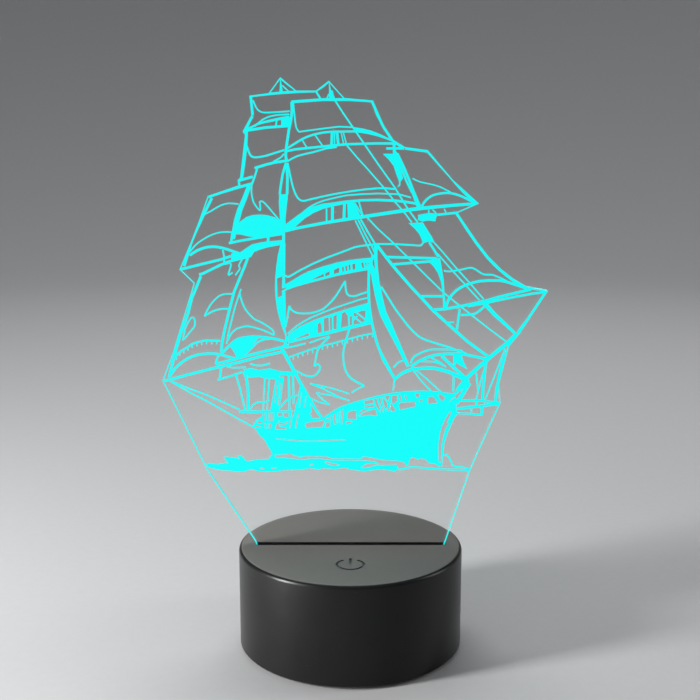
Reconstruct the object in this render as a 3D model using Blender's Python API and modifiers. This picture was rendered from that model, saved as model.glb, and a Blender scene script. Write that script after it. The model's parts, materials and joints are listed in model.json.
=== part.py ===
"""Edge-lit acrylic night lamp on a round touch base, modelled one object per physical piece.

Dimensions are millimetres; every mesh is scaled to metres as it is made. The base stands on
z = 0 with its axis on the origin, the plate lies in the XZ plane and the front faces -Y.
"""

import math

import bmesh
import bpy
from mathutils import Vector

MM = 0.001
CLEARANCE = 0.3

# Base shell
BASE_RADIUS = 43.5
BASE_TOP = 40.0
SHELL_FOOT = 1.0
SHELL_WALL = 2.0
SHELL_ROOF = 2.2
TOP_ROUND = 1.5
ROOF_UNDER = BASE_TOP - SHELL_ROOF
SHELL_STEPS = 80

# Acrylic plate and the slot that takes it
PLATE_THICK = 4.0
PLATE_FOOT_Z = 30.0
PLATE_FOOT_HALF = 36.6
SLOT_LENGTH = 74.0
SLOT_WIDTH = 4.6

# Power symbol moulded into the roof
SYMBOL_Y = -22.6
SYMBOL_RADIUS = 4.95
SYMBOL_LINE = 1.1
SYMBOL_DEPTH = 0.35
SYMBOL_GAP_DEG = 64.0

# Bottom cover and battery bay
COVER_RADIUS = 41.2
COVER_Z = 1.8
COVER_THICK = 2.4
COVER_TOP = COVER_Z + COVER_THICK
BAY_HALF = (28.0, 22.0)
BAY_WALL = 1.2
BAY_CEILING = 18.2
BAY_TOP = 19.4
REBATE_HALF = (29.3, 23.7)
REBATE_CEILING = 3.6

# Battery door, hinged along its -X edge
DOOR_HALF = (29.0, 23.4)
DOOR_THICK = 1.5
HINGE_X = -29.0
DOOR_TAB_Y = 12.0
DOOR_TAB_WIDTH = 6.0
LEDGE_TOP = 2.4
LATCH_HALF = 5.0

# AA cells
CELL_RADIUS = 7.1
CELL_Z = 10.9
CELL_PITCH = 14.5
CELL_TIP_X = 27.5
CELL_LENGTH = 50.5

# Circuit boards
BOARD_Z = 21.5
BOARD_THICK = 1.6
BOARD_TOP = BOARD_Z + BOARD_THICK
LED_BOARD_Z = 25.5
LED_COUNT = 7
LED_PITCH = 9.5
LED_SIZE = (5.0, 5.0, 1.5)

# Plate holder under the slot
HOLDER_HALF = (38.8, 4.4)
HOLDER_Z = (25.2, 37.5)
SHOULDER_Z = (27.4, 29.7)
EAR_X = 22.0
EAR_Y = 8.0
EAR_Z = (30.0, 32.4)

# Screws and the places they go
CASE_SCREW_SPOTS = ((35.0, 9.0), (35.0, -9.0), (-35.0, 9.0), (-35.0, -9.0))
HOLDER_SCREW_SPOTS = ((-EAR_X, EAR_Y), (EAR_X, -EAR_Y))
BOARD_SCREW_SPOTS = ((20.0, 18.0), (-20.0, -18.0))
BOARD_POST_SPOTS = ((20.0, 18.0), (-20.0, -18.0), (-20.0, 18.0), (20.0, -18.0))
LED_SCREW_X = 35.4
FOOT_SPOTS = ((22.5, 28.2), (-22.5, 28.2), (-22.5, -28.2), (22.5, -28.2))
FOOT_RADIUS = 3.5

# USB inlet at the rear
USB_Z = 24.75
USB_HOLE = (11.5, 7.0)
USB_FRONT_Y = 41.0

# One row per material: base colour, roughness, metallic, transmission
MATERIALS = {
    "abs_black": ((0.028, 0.028, 0.03), 0.38, 0.0, 0.0),
    "abs_inner": ((0.035, 0.035, 0.038), 0.6, 0.0, 0.0),
    "acrylic_clear": ((0.86, 0.97, 0.98), 0.06, 0.0, 0.9),
    "rubber_black": ((0.02, 0.02, 0.02), 0.85, 0.0, 0.0),
    "board_green": ((0.02, 0.17, 0.08), 0.45, 0.0, 0.0),
    "board_white": ((0.82, 0.82, 0.8), 0.5, 0.0, 0.0),
    "led_lens": ((0.85, 0.9, 0.9), 0.3, 0.0, 0.0),
    "steel": ((0.6, 0.6, 0.62), 0.3, 1.0, 0.0),
    "aluminium_can": ((0.7, 0.7, 0.72), 0.35, 1.0, 0.0),
    "zinc_screw": ((0.32, 0.32, 0.34), 0.35, 1.0, 0.0),
    "nylon_white": ((0.8, 0.79, 0.74), 0.5, 0.0, 0.0),
    "chip_black": ((0.03, 0.03, 0.03), 0.5, 0.0, 0.0),
    "cell_wrap": ((0.12, 0.25, 0.3), 0.35, 0.2, 0.0),
    "wire_red": ((0.6, 0.03, 0.02), 0.45, 0.0, 0.0),
    "wire_black": ((0.02, 0.02, 0.02), 0.45, 0.0, 0.0),
}


def clear_scene():
    for obj in list(bpy.data.objects):
        bpy.data.objects.remove(obj, do_unlink=True)


def make_material(name, colour, roughness, metallic, transmission):
    material = bpy.data.materials.new(name)
    material.use_nodes = True
    shader = material.node_tree.nodes["Principled BSDF"]
    shader.inputs["Base Color"].default_value = (*colour, 1.0)
    shader.inputs["Roughness"].default_value = roughness
    shader.inputs["Metallic"].default_value = metallic
    shader.inputs["Transmission Weight"].default_value = transmission
    material.diffuse_color = (*colour, 1.0)
    return material


def make_collection(name):
    collection = bpy.data.collections.new(name)
    bpy.context.scene.collection.children.link(collection)
    return collection


def add_object(name, data, slot, location=(0, 0, 0)):
    """Link one piece into the lamp, placed at a location in millimetres."""
    obj = bpy.data.objects.new(name, data)
    obj.location = Vector(location) * MM
    if not data.materials:
        data.materials.append(material_of[slot])
    lamp.objects.link(obj)
    return obj


def mesh_from(name, bm):
    """Close a bmesh drawn in millimetres into a mesh in metres with outward faces."""
    bmesh.ops.scale(bm, vec=(MM, MM, MM), verts=bm.verts)
    bmesh.ops.recalc_face_normals(bm, faces=bm.faces)
    mesh = bpy.data.meshes.new(name)
    bm.to_mesh(mesh)
    bm.free()
    return mesh


def add_box(bm, low, high):
    """Add a closed box between two corners."""
    made = bmesh.ops.create_cube(bm, size=1.0)["verts"]
    size = Vector(high) - Vector(low)
    bmesh.ops.scale(bm, vec=size, verts=made)
    bmesh.ops.translate(bm, vec=(Vector(high) + Vector(low)) / 2, verts=made)


def add_cylinder(bm, radius, low, high, steps=24):
    """Add a closed upright cylinder from the centre of its foot to the centre of its top."""
    height = high[2] - low[2]
    made = bmesh.ops.create_cone(
        bm, cap_ends=True, segments=steps, radius1=radius, radius2=radius, depth=height
    )["verts"]
    bmesh.ops.translate(bm, vec=(low[0], low[1], low[2] + height / 2), verts=made)


def add_prism(bm, outline, z_low, z_high):
    """Add an outline in the XY plane drawn up into a solid."""
    verts = [bm.verts.new((x, y, z_low)) for x, y in outline]
    face = bm.faces.new(verts)
    raised = bmesh.ops.extrude_face_region(bm, geom=[face])["geom"]
    moved = [item for item in raised if isinstance(item, bmesh.types.BMVert)]
    bmesh.ops.translate(bm, vec=(0, 0, z_high - z_low), verts=moved)


def box(name, low, high, slot, location=(0, 0, 0)):
    bm = bmesh.new()
    add_box(bm, low, high)
    return add_object(name, mesh_from(name, bm), slot, location)


def flat_piece(name, outline, thickness, slot, location, rotation=(0, 0, 0)):
    """A flat outline as a filled 2D curve, drawn out to its thickness about its own plane."""
    curve = bpy.data.curves.new(name, "CURVE")
    curve.dimensions = "2D"
    curve.fill_mode = "BOTH"
    curve.extrude = thickness * MM / 2
    spline = curve.splines.new("POLY")
    spline.points.add(len(outline) - 1)
    for point, (x, y) in zip(spline.points, outline):
        point.co = (x * MM, y * MM, 0.0, 1.0)
    spline.use_cyclic_u = True
    obj = add_object(name, curve, slot, location)
    obj.rotation_euler = rotation
    return obj


def as_mesh(obj):
    """Swap a curve piece for its mesh, welded shut, so that it can be cut."""
    bpy.context.view_layer.update()
    mesh = bpy.data.meshes.new_from_object(obj.evaluated_get(bpy.context.evaluated_depsgraph_get()))
    bm = bmesh.new()
    bm.from_mesh(mesh)
    bmesh.ops.remove_doubles(bm, verts=bm.verts, dist=0.000001)
    bm.to_mesh(mesh)
    bm.free()
    name = obj.name
    place = obj.matrix_world.copy()
    bpy.data.objects.remove(obj, do_unlink=True)
    swapped = bpy.data.objects.new(name, mesh)
    swapped.matrix_world = place
    lamp.objects.link(swapped)
    return swapped


def lathe(name, profile, steps, slot, location=(0, 0, 0)):
    """Turn a profile of (radius, height) points about the Z axis with a Screw modifier."""
    bm = bmesh.new()
    verts = [bm.verts.new((radius * MM, 0.0, height * MM)) for radius, height in profile]
    open_ended = profile[0][0] == 0.0 and profile[-1][0] == 0.0
    last = len(verts) - 1 if open_ended else len(verts)
    for index in range(last):
        bm.edges.new((verts[index], verts[(index + 1) % len(verts)]))
    mesh = bpy.data.meshes.new(name)
    bm.to_mesh(mesh)
    bm.free()
    obj = add_object(name, mesh, slot, location)
    screw = obj.modifiers.new("turn", "SCREW")
    screw.steps = steps
    screw.render_steps = steps
    screw.use_merge_vertices = True
    screw.merge_threshold = 0.00001
    screw.use_smooth_shade = True
    return obj


def smooth(obj, degrees=35.0):
    """Shade smooth, keeping real corners sharp."""
    mesh = obj.data
    mesh.shade_smooth()
    mesh.set_sharp_from_angle(angle=math.radians(degrees))


def bevel(obj, width, segments=2):
    modifier = obj.modifiers.new("edge_round", "BEVEL")
    modifier.width = width * MM
    modifier.segments = segments
    modifier.limit_method = "ANGLE"
    modifier.angle_limit = math.radians(40.0)


def cutter_from(name, bm):
    """Keep a cutting shape out of the render, in its own collection."""
    obj = bpy.data.objects.new(name, mesh_from(name, bm))
    obj.hide_render = True
    obj.display_type = "WIRE"
    cutters.objects.link(obj)
    return obj


def combine(obj, tool, operation="DIFFERENCE"):
    modifier = obj.modifiers.new(tool.name, "BOOLEAN")
    modifier.operation = operation
    modifier.object = tool
    modifier.solver = "EXACT"


def arc(centre, radius, start, end, steps):
    """Points on an arc, both ends included, angles in degrees."""
    angles = [math.radians(start + (end - start) * i / steps) for i in range(steps + 1)]
    return [(centre[0] + radius * math.cos(a), centre[1] + radius * math.sin(a)) for a in angles]


def rounded_rectangle(half_x, half_y, radius, steps=5):
    points = []
    for sign_x, sign_y, start in ((1, 1, 0), (-1, 1, 90), (-1, -1, 180), (1, -1, 270)):
        centre = (sign_x * (half_x - radius), sign_y * (half_y - radius))
        points += arc(centre, radius, start, start + 90, steps)
    return points


def wire(name, points, radius, slot, sides=1):
    """A round wire along points in millimetres, ends capped."""
    curve = bpy.data.curves.new(name, "CURVE")
    curve.dimensions = "3D"
    spline = curve.splines.new("POLY")
    spline.points.add(len(points) - 1)
    for slot_point, point in zip(spline.points, points):
        slot_point.co = (*(Vector(point) * MM), 1.0)
    curve.bevel_depth = radius * MM
    curve.bevel_resolution = sides
    curve.use_fill_caps = True
    return add_object(name, curve, slot)


def softened(points, rounds=2):
    """Cut the corners of a path, so that a wire bends instead of folding."""
    for _ in range(rounds):
        cut = [points[0]]
        for start, end in zip(points, points[1:]):
            start = Vector(start)
            end = Vector(end)
            cut.append(tuple(start.lerp(end, 0.25)))
            cut.append(tuple(start.lerp(end, 0.75)))
        cut.append(points[-1])
        points = cut
    return points


# Base shell ---------------------------------------------------------------------------------


def build_top_shell():
    outer = BASE_RADIUS
    inner = BASE_RADIUS - SHELL_WALL
    corner = (outer - TOP_ROUND, BASE_TOP - TOP_ROUND)
    profile = [(0.0, BASE_TOP)]
    profile += arc(corner, TOP_ROUND, 90, 0, 5)
    profile += [(outer, SHELL_FOOT + 0.7), (outer - 0.7, SHELL_FOOT), (inner, SHELL_FOOT)]
    profile += [(inner, ROOF_UNDER - 1.0), (inner - 1.0, ROOF_UNDER), (0.0, ROOF_UNDER)]
    shell = lathe("top_shell", profile, SHELL_STEPS, "abs_black")

    posts = bmesh.new()
    for x, y in CASE_SCREW_SPOTS:
        add_cylinder(posts, 3.0, (x, y, COVER_TOP + CLEARANCE), (x, y, ROOF_UNDER + 0.5), 16)
    for x, y in HOLDER_SCREW_SPOTS:
        add_cylinder(posts, 2.8, (x, y, EAR_Z[1] + CLEARANCE), (x, y, ROOF_UNDER + 0.5), 16)
    combine(shell, cutter_from("shell_posts", posts), "UNION")

    pilots = bmesh.new()
    for x, y in CASE_SCREW_SPOTS:
        add_cylinder(pilots, 1.2, (x, y, COVER_TOP), (x, y, 16.0), 12)
    for x, y in HOLDER_SCREW_SPOTS:
        add_cylinder(pilots, 1.05, (x, y, EAR_Z[1]), (x, y, 37.2), 12)
    combine(shell, cutter_from("shell_pilots", pilots))

    slot = bmesh.new()
    half = (SLOT_LENGTH / 2, SLOT_WIDTH / 2)
    add_prism(slot, rounded_rectangle(*half, 0.6, 2), ROOF_UNDER - 2, BASE_TOP + 2)
    combine(shell, cutter_from("plate_slot", slot))

    symbol = bmesh.new()
    gap = SYMBOL_GAP_DEG / 2
    centre = (0.0, SYMBOL_Y)
    outline = arc(centre, SYMBOL_RADIUS + SYMBOL_LINE / 2, 90 + gap, 450 - gap, 28)
    outline += arc(centre, SYMBOL_RADIUS - SYMBOL_LINE / 2, 450 - gap, 90 + gap, 28)
    add_prism(symbol, outline, BASE_TOP - SYMBOL_DEPTH, BASE_TOP + 1)
    half_line = SYMBOL_LINE / 2
    add_box(
        symbol,
        (-half_line, SYMBOL_Y + 0.7, BASE_TOP - SYMBOL_DEPTH),
        (half_line, SYMBOL_Y + 6.0, BASE_TOP + 1),
    )
    combine(shell, cutter_from("power_symbol", symbol))

    inlet = bmesh.new()
    outline = rounded_rectangle(USB_HOLE[0] / 2, USB_HOLE[1] / 2, 2.0, 4)
    add_prism(inlet, outline, -3.0, 3.0)
    bmesh.ops.rotate(inlet, matrix=quarter_turn, verts=inlet.verts)
    bmesh.ops.translate(inlet, vec=(0, BASE_RADIUS - 1.0, USB_Z), verts=inlet.verts)
    combine(shell, cutter_from("usb_hole", inlet))
    return shell


# Bottom cover, battery bay and door -----------------------------------------------------------


def build_bottom_cover():
    profile = [(0.0, COVER_TOP), (COVER_RADIUS, COVER_TOP), (COVER_RADIUS, COVER_Z + 0.4)]
    profile += [(COVER_RADIUS - 0.4, COVER_Z), (0.0, COVER_Z)]
    cover = lathe("bottom_cover", profile, SHELL_STEPS, "abs_inner")

    bay = bmesh.new()
    wall_half = [half + BAY_WALL for half in BAY_HALF]
    add_box(bay, (-wall_half[0], -wall_half[1], COVER_Z + 1.0), (*wall_half, BAY_TOP))
    combine(cover, cutter_from("bay_block", bay), "UNION")

    posts = bmesh.new()
    for x, y in BOARD_POST_SPOTS:
        add_cylinder(posts, 2.5, (x, y, BAY_TOP - 0.5), (x, y, BOARD_Z - CLEARANCE), 12)
    combine(cover, cutter_from("board_posts", posts), "UNION")

    hollow = bmesh.new()
    add_box(hollow, (-BAY_HALF[0], -BAY_HALF[1], 0.0), (*BAY_HALF, BAY_CEILING))
    combine(cover, cutter_from("bay_hollow", hollow))

    rebate = bmesh.new()
    add_box(rebate, (-REBATE_HALF[0], -REBATE_HALF[1], 0.0), (*REBATE_HALF, REBATE_CEILING))
    combine(cover, cutter_from("door_rebate", rebate))

    openings = bmesh.new()
    for side in (-1, 1):
        middle = side * DOOR_TAB_Y
        reach = DOOR_TAB_WIDTH / 2 + CLEARANCE
        add_box(openings, (-32.0, middle - reach, LEDGE_TOP), (-27.0, middle + reach, 5.4))
    reach = LATCH_HALF + CLEARANCE
    add_box(openings, (27.0, -reach, REBATE_CEILING - 0.6), (29.6, reach, 10.2))
    combine(cover, cutter_from("tab_openings", openings))

    holes = bmesh.new()
    for x, y in CASE_SCREW_SPOTS:
        add_cylinder(holes, 1.5, (x, y, 0.0), (x, y, COVER_TOP + 1), 16)
    for x, y in BOARD_SCREW_SPOTS:
        add_cylinder(holes, 0.95, (x, y, 18.9), (x, y, BOARD_Z), 10)
    combine(cover, cutter_from("screw_holes", holes))

    sinks = bmesh.new()
    for x, y in CASE_SCREW_SPOTS:
        add_cylinder(sinks, 2.7, (x, y, 0.0), (x, y, COVER_Z + 1.7), 20)
    for x, y in FOOT_SPOTS:
        add_cylinder(sinks, FOOT_RADIUS + 0.2, (x, y, 0.0), (x, y, COVER_Z + 0.8), 24)
    combine(cover, cutter_from("screw_sinks", sinks))

    leads = bmesh.new()
    add_cylinder(leads, 0.9, (0, 0, 0), (0, 0, 3.0), 10)
    bmesh.ops.rotate(leads, matrix=side_turn, verts=leads.verts)
    copy = bmesh.ops.duplicate(leads, geom=leads.verts[:] + leads.edges[:] + leads.faces[:])
    twin = [item for item in copy["geom"] if isinstance(item, bmesh.types.BMVert)]
    first = [vert for vert in leads.verts if vert not in set(twin)]
    bmesh.ops.translate(leads, vec=(27.2, CELL_PITCH, 13.6), verts=first)
    bmesh.ops.translate(leads, vec=(-30.2, -CELL_PITCH, 13.6), verts=twin)
    combine(cover, cutter_from("lead_holes", leads))
    return cover


def build_battery_door():
    """Local origin on the hinge line, at the lower corner of the -X edge."""
    length = DOOR_HALF[0] - HINGE_X
    door = box("battery_door", (0, -DOOR_HALF[1], 0), (length, DOOR_HALF[1], DOOR_THICK),
               "abs_inner", (HINGE_X, 0, COVER_Z))

    extras = bmesh.new()
    for side in (-1, 1):
        middle = side * DOOR_TAB_Y
        add_box(extras, (-2.0, middle - DOOR_TAB_WIDTH / 2, 0.8),
                (1.0, middle + DOOR_TAB_WIDTH / 2, DOOR_THICK))
    add_box(extras, (length - 0.85, -LATCH_HALF, 0.6), (length - 0.25, LATCH_HALF, 6.5))
    bmesh.ops.translate(extras, vec=(HINGE_X, 0, COVER_Z), verts=extras.verts)
    combine(door, cutter_from("door_tabs", extras), "UNION")

    groove = bmesh.new()
    add_box(groove, (length - 5.0, -7.0, -1.0), (length - 2.6, 7.0, 0.6))
    add_box(groove, (length - 9.0, -7.0, -1.0), (length - 6.6, 7.0, 0.6))
    bmesh.ops.translate(groove, vec=(HINGE_X, 0, COVER_Z), verts=groove.verts)
    combine(door, cutter_from("thumb_grooves", groove))
    return door


def build_feet():
    profile = [(0.0, 2.5), (FOOT_RADIUS, 2.5), (FOOT_RADIUS, 0.6), (FOOT_RADIUS - 0.6, 0.0)]
    profile += [(0.0, 0.0)]
    for number, (x, y) in enumerate(FOOT_SPOTS, 1):
        lathe(f"foot_{number}", profile, 20, "rubber_black", (x, y, 0))


# Cells and contacts --------------------------------------------------------------------------


def build_cells():
    """The middle cell points the other way, so the three are in series."""
    body_end = CELL_LENGTH - 1.0
    profile = [(0.0, CELL_LENGTH), (2.3, CELL_LENGTH), (2.7, CELL_LENGTH - 0.4)]
    profile += [(2.7, body_end), (6.5, body_end), (CELL_RADIUS, body_end - 0.6)]
    profile += [(CELL_RADIUS, 0.6), (6.5, 0.0), (0.0, 0.0)]
    for number, side in enumerate((1, -1, 1), 1):
        y = CELL_PITCH * (2 - number)
        start = side * (CELL_TIP_X - CELL_LENGTH)
        cell = lathe(f"aa_cell_{number}", profile, 20, "cell_wrap", (start, y, CELL_Z))
        cell.rotation_euler = (0, side * math.pi / 2, 0)


def contact_plate(name, side, y_low, y_high):
    x = side * 27.75
    plate = box(name, (-0.15, y_low, 6.4), (0.15, y_high, 15.4), "steel", (x, 0, 0))
    return plate


def conical_spring(name, turns, height, radii, gauge, location, rotation=(0, 0, 0)):
    """A wire spring standing on its origin, narrowing from the first radius to the second."""
    per_turn = 12
    count = int(turns * per_turn)
    points = []
    for index in range(count + 1):
        share = index / count
        radius = radii[0] + (radii[1] - radii[0]) * share
        angle = 2 * math.pi * turns * share
        points.append((radius * math.cos(angle), radius * math.sin(angle), height * share))
    spring = wire(name, points, gauge, "steel")
    spring.location = Vector(location) * MM
    spring.rotation_euler = rotation
    return spring


def build_contacts():
    half = 5.0
    contact_plate("contact_positive", 1, CELL_PITCH - half, CELL_PITCH + half)
    contact_plate("contact_negative", -1, -CELL_PITCH - half, -CELL_PITCH + half)
    contact_plate("contact_bridge_1", -1, -half, CELL_PITCH + half)
    contact_plate("contact_bridge_2", 1, -CELL_PITCH - half, half)
    for number, side in enumerate((1, -1, 1), 1):
        y = CELL_PITCH * (2 - number)
        foot = (-side * 27.25, y, CELL_Z)
        rotation = (0, side * math.pi / 2, 0)
        conical_spring(f"cell_spring_{number}", 2.5, 3.5, (4.2, 2.2), 0.3, foot, rotation)


# Boards and parts on them ----------------------------------------------------------------------


def build_control_board():
    outline = [(-12, 39), (12, 39), (26, 28), (26, -24), (16, -34), (-16, -34), (-26, -24)]
    outline += [(-26, 28)]
    middle = (0, 0, BOARD_Z + BOARD_THICK / 2)
    board = as_mesh(flat_piece("control_board", outline, BOARD_THICK, "board_green", middle))
    holes = bmesh.new()
    for x, y in BOARD_SCREW_SPOTS:
        add_cylinder(holes, 1.1, (x, y, BOARD_Z - 1), (x, y, BOARD_TOP + 1), 12)
    combine(board, cutter_from("board_holes", holes))

    socket = box("usb_socket", (-4.5, -7.0, -1.6), (4.5, 0, 1.65), "steel",
                 (0, USB_FRONT_Y, USB_Z))
    bevel(socket, 0.8)
    mouth = bmesh.new()
    add_box(mouth, (-4.15, USB_FRONT_Y - 6.2, USB_Z - 1.25),
            (4.15, USB_FRONT_Y + 1, USB_Z + 1.3))
    combine(socket, cutter_from("usb_mouth", mouth))
    box("usb_tongue", (-3.4, -5.9, -0.35), (3.4, -0.8, 0.35), "chip_black",
        (0, USB_FRONT_Y, USB_Z))

    top = BOARD_TOP + 0.05
    box("touch_ic", (-2.5, -2.0, 0), (2.5, 2.0, 1.5), "chip_black", (-6, -15, top))
    box("led_driver_ic", (-2.5, -2.0, 0), (2.5, 2.0, 1.5), "chip_black", (8, 14, top))
    box("battery_connector", (-3.6, -2.6, 0), (3.6, 2.6, 4.8), "nylon_white", (17, -13, top))
    box("led_connector", (-3.6, -2.6, 0), (3.6, 2.6, 4.8), "nylon_white", (-13, 13, top))
    profile = [(0.0, 6.0), (2.9, 6.0), (3.2, 5.7), (3.2, 0.0), (0.0, 0.0)]
    lathe("capacitor", profile, 20, "aluminium_can", (0, 24, top))
    reach = ROOF_UNDER - top - 0.9
    conical_spring("touch_spring", 5, reach, (4.2, 3.0), 0.35, (0, SYMBOL_Y, top + 0.4))


def build_led_board():
    half_x = HOLDER_HALF[0] - 1.2
    board = box("led_board", (-half_x, -3.1, 0), (half_x, 3.1, BOARD_THICK), "board_white",
                (0, 0, LED_BOARD_Z))
    holes = bmesh.new()
    for side in (-1, 1):
        x = side * LED_SCREW_X
        add_cylinder(holes, 1.1, (x, 0, LED_BOARD_Z - 1), (x, 0, LED_BOARD_Z + 3), 12)
    combine(board, cutter_from("led_board_holes", holes))
    size = [value / 2 for value in LED_SIZE]
    for number in range(LED_COUNT):
        x = (number - (LED_COUNT - 1) / 2) * LED_PITCH
        led = box(f"led_{number + 1}", (-size[0], -size[1], 0), (size[0], size[1], LED_SIZE[2]),
                  "led_lens", (x, 0, LED_BOARD_Z + BOARD_THICK + 0.05))
        bevel(led, 0.2, 1)


def build_plate_holder():
    """Rails that grip the plate, shoulders it stands on, and two ears screwed to the roof."""
    half_x, half_y = HOLDER_HALF
    holder = box("plate_holder", (-half_x, -half_y, HOLDER_Z[0]), (half_x, half_y, HOLDER_Z[1]),
                 "abs_inner")
    ears = bmesh.new()
    for x, y in HOLDER_SCREW_SPOTS:
        near, far = sorted((math.copysign(half_y - 0.6, y), y + math.copysign(3.2, y)))
        add_box(ears, (x - 3.2, near, EAR_Z[0]), (x + 3.2, far, EAR_Z[1]))
    combine(holder, cutter_from("holder_ears", ears), "UNION")

    channel = bmesh.new()
    add_box(channel, (-37.0, -2.3, SHOULDER_Z[1]), (37.0, 2.3, HOLDER_Z[1] + 1))
    combine(holder, cutter_from("plate_channel", channel))

    bays = bmesh.new()
    add_box(bays, (-32.8, -3.4, SHOULDER_Z[0] - 1), (32.8, 3.4, SHOULDER_Z[1] + 0.5))
    combine(holder, cutter_from("light_bay", bays))

    seat = bmesh.new()
    add_box(seat, (-half_x + 0.8, -3.4, HOLDER_Z[0] - 1), (half_x - 0.8, 3.4, SHOULDER_Z[0]))
    combine(holder, cutter_from("led_board_seat", seat))

    holes = bmesh.new()
    for x, y in HOLDER_SCREW_SPOTS:
        add_cylinder(holes, 1.2, (x, y, EAR_Z[0] - 1), (x, y, EAR_Z[1] + 1), 12)
    for side in (-1, 1):
        x = side * LED_SCREW_X
        add_cylinder(holes, 0.95, (x, 0, SHOULDER_Z[0] - 1), (x, 0, SHOULDER_Z[1] - 0.4), 10)
    combine(holder, cutter_from("holder_holes", holes))


# Screws ------------------------------------------------------------------------------------


def build_screw(name, location, head, shank, up):
    """A pan-head screw with a cross recess; its head sits on the local origin."""
    head_radius, head_height = head
    shank_radius, shank_length = shank
    profile = [(0.0, shank_length), (shank_radius * 0.5, shank_length)]
    profile += [(shank_radius, shank_length - shank_radius * 0.8), (shank_radius, 0.0)]
    profile += [(head_radius, 0.0), (head_radius, -head_height * 0.45)]
    profile += [(head_radius * 0.72, -head_height), (0.0, -head_height)]
    screw = lathe(name, profile, 16, "zinc_screw", location)
    if not up:
        screw.rotation_euler = (math.pi, 0, 0)

    recess = bmesh.new()
    long_arm = head_radius * 0.52
    short_arm = head_radius * 0.13
    deep = -head_height * 0.5
    add_box(recess, (-long_arm, -short_arm, -head_height - 1), (long_arm, short_arm, deep))
    cross = bmesh.new()
    add_box(cross, (-short_arm, -long_arm, -head_height - 1), (short_arm, long_arm, deep))
    for label, arm in (("a", recess), ("b", cross)):
        tool = cutter_from(f"{name}_recess_{label}", arm)
        tool.location = screw.location
        tool.rotation_euler = screw.rotation_euler
        combine(screw, tool)
    return screw


def build_screws():
    case_seat = COVER_Z + 1.7 - 0.05
    for number, (x, y) in enumerate(CASE_SCREW_SPOTS, 1):
        build_screw(f"case_screw_{number}", (x, y, case_seat), (2.4, 1.4), (1.1, 10.0), True)
    for number, (x, y) in enumerate(HOLDER_SCREW_SPOTS, 1):
        spot = (x, y, EAR_Z[0] - 0.05)
        build_screw(f"holder_screw_{number}", spot, (2.0, 1.5), (0.95, 6.4), True)
    for number, (x, y) in enumerate(BOARD_SCREW_SPOTS, 1):
        spot = (x, y, BOARD_TOP + 0.05)
        build_screw(f"board_screw_{number}", spot, (1.9, 1.2), (0.85, 3.8), False)
    for number, side in enumerate((-1, 1), 1):
        spot = (side * LED_SCREW_X, 0, LED_BOARD_Z - 0.05)
        build_screw(f"led_board_screw_{number}", spot, (1.7, 1.1), (0.85, 3.4), True)


# Wires -------------------------------------------------------------------------------------


def build_wires():
    lead_z = 13.6
    red = [(28.0, CELL_PITCH, lead_z), (30.6, CELL_PITCH, lead_z), (31.0, CELL_PITCH, 18.0)]
    red += [(30.2, 9.0, 23.2), (29.4, 0.0, 24.2), (28.0, -8.0, 25.0), (20.8, -13.0, 25.8)]
    wire("battery_wire_red", softened(red), 0.6, "wire_red")
    black = [(-28.0, -CELL_PITCH, lead_z), (-30.6, -CELL_PITCH, lead_z)]
    black += [(-31.0, -CELL_PITCH, 19.0), (-28.0, -14.0, 25.0), (-14.0, -10.0, 26.2)]
    black += [(2.0, -10.0, 26.2), (13.3, -13.0, 25.8)]
    wire("battery_wire_black", softened(black), 0.6, "wire_black")
    under = LED_BOARD_Z - 0.05
    starts = (("wire_red", -28.5, 1.2), ("wire_black", -30.5, -1.2))
    for number, (slot, x, y) in enumerate(starts, 1):
        end_y = 10.0 + 2 * number
        path = [(x, y, under - 0.1), (x, y, under - 1.2), (x + 1.0, 8.0, under - 0.9)]
        path += [(-22.0, end_y, under + 0.4), (-16.8, end_y, 26.0)]
        wire(f"led_wire_{number}", softened(path), 0.5, slot)


# Acrylic plate ------------------------------------------------------------------------------

# The plate is cut along the sails. Points are (x, height above the base top), going round
# from the left of the foot.
STERN_SIDE = [(-37.2, 1.5), (-55.3, 30.3), (-71.4, 65.5), (-67.0, 76.5), (-58.5, 102.6)]
AFTER_SAILS = [(-63.7, 107.8), (-59.2, 118.0), (-55.9, 126.0), (-52.5, 135.0), (-41.2, 138.8)]
AFTER_SAILS += [(-41.4, 140.8), (-40.5, 141.6), (-38.4, 157.1), (-39.3, 158.2), (-36.0, 164.0), (-36.6, 171.0)]
MAST_HEADS = [(-29.6, 171.9), (-25.3, 177.5), (-19.6, 172.8), (-12.4, 172.8), (-7.8, 176.3)]
MAST_HEADS += [(-2.2, 170.2), (8.2, 169.3)]
FORE_SAILS = [(12.2, 160.5), (15.8, 155.2), (20.0, 152.7), (28.3, 151.6), (37.5, 141.0)]
FORE_SAILS += [(47.4, 132.2), (39.6, 128.8), (43.5, 123.2), (47.1, 118.1), (51.4, 112.7), (56.2, 108.0)]
FORE_SAILS += [(61.2, 104.1)]
BOW_SIDE = [(66.0, 101.3), (73.9, 99.8), (63.9, 83.8), (59.8, 78.6), (56.4, 64.0)]
BOW_SIDE += [(57.2, 56.8), (46.2, 30.2), (37.2, 1.5)]


def build_plate():
    """Local origin at the middle of the foot, on the line the plate slides along."""
    foot = PLATE_FOOT_HALF
    rise = BASE_TOP - PLATE_FOOT_Z
    outline = [(foot, rise), (foot, 0.6), (foot - 0.6, 0.0), (-foot + 0.6, 0.0), (-foot, 0.6)]
    outline += [(-foot, rise)]
    for x, height in STERN_SIDE + AFTER_SAILS + MAST_HEADS + FORE_SAILS + BOW_SIDE:
        outline.append((x, height + rise))
    flat_piece("acrylic_plate", outline, PLATE_THICK, "acrylic_clear", (0, 0, PLATE_FOOT_Z),
               (math.pi / 2, 0, 0))


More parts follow.
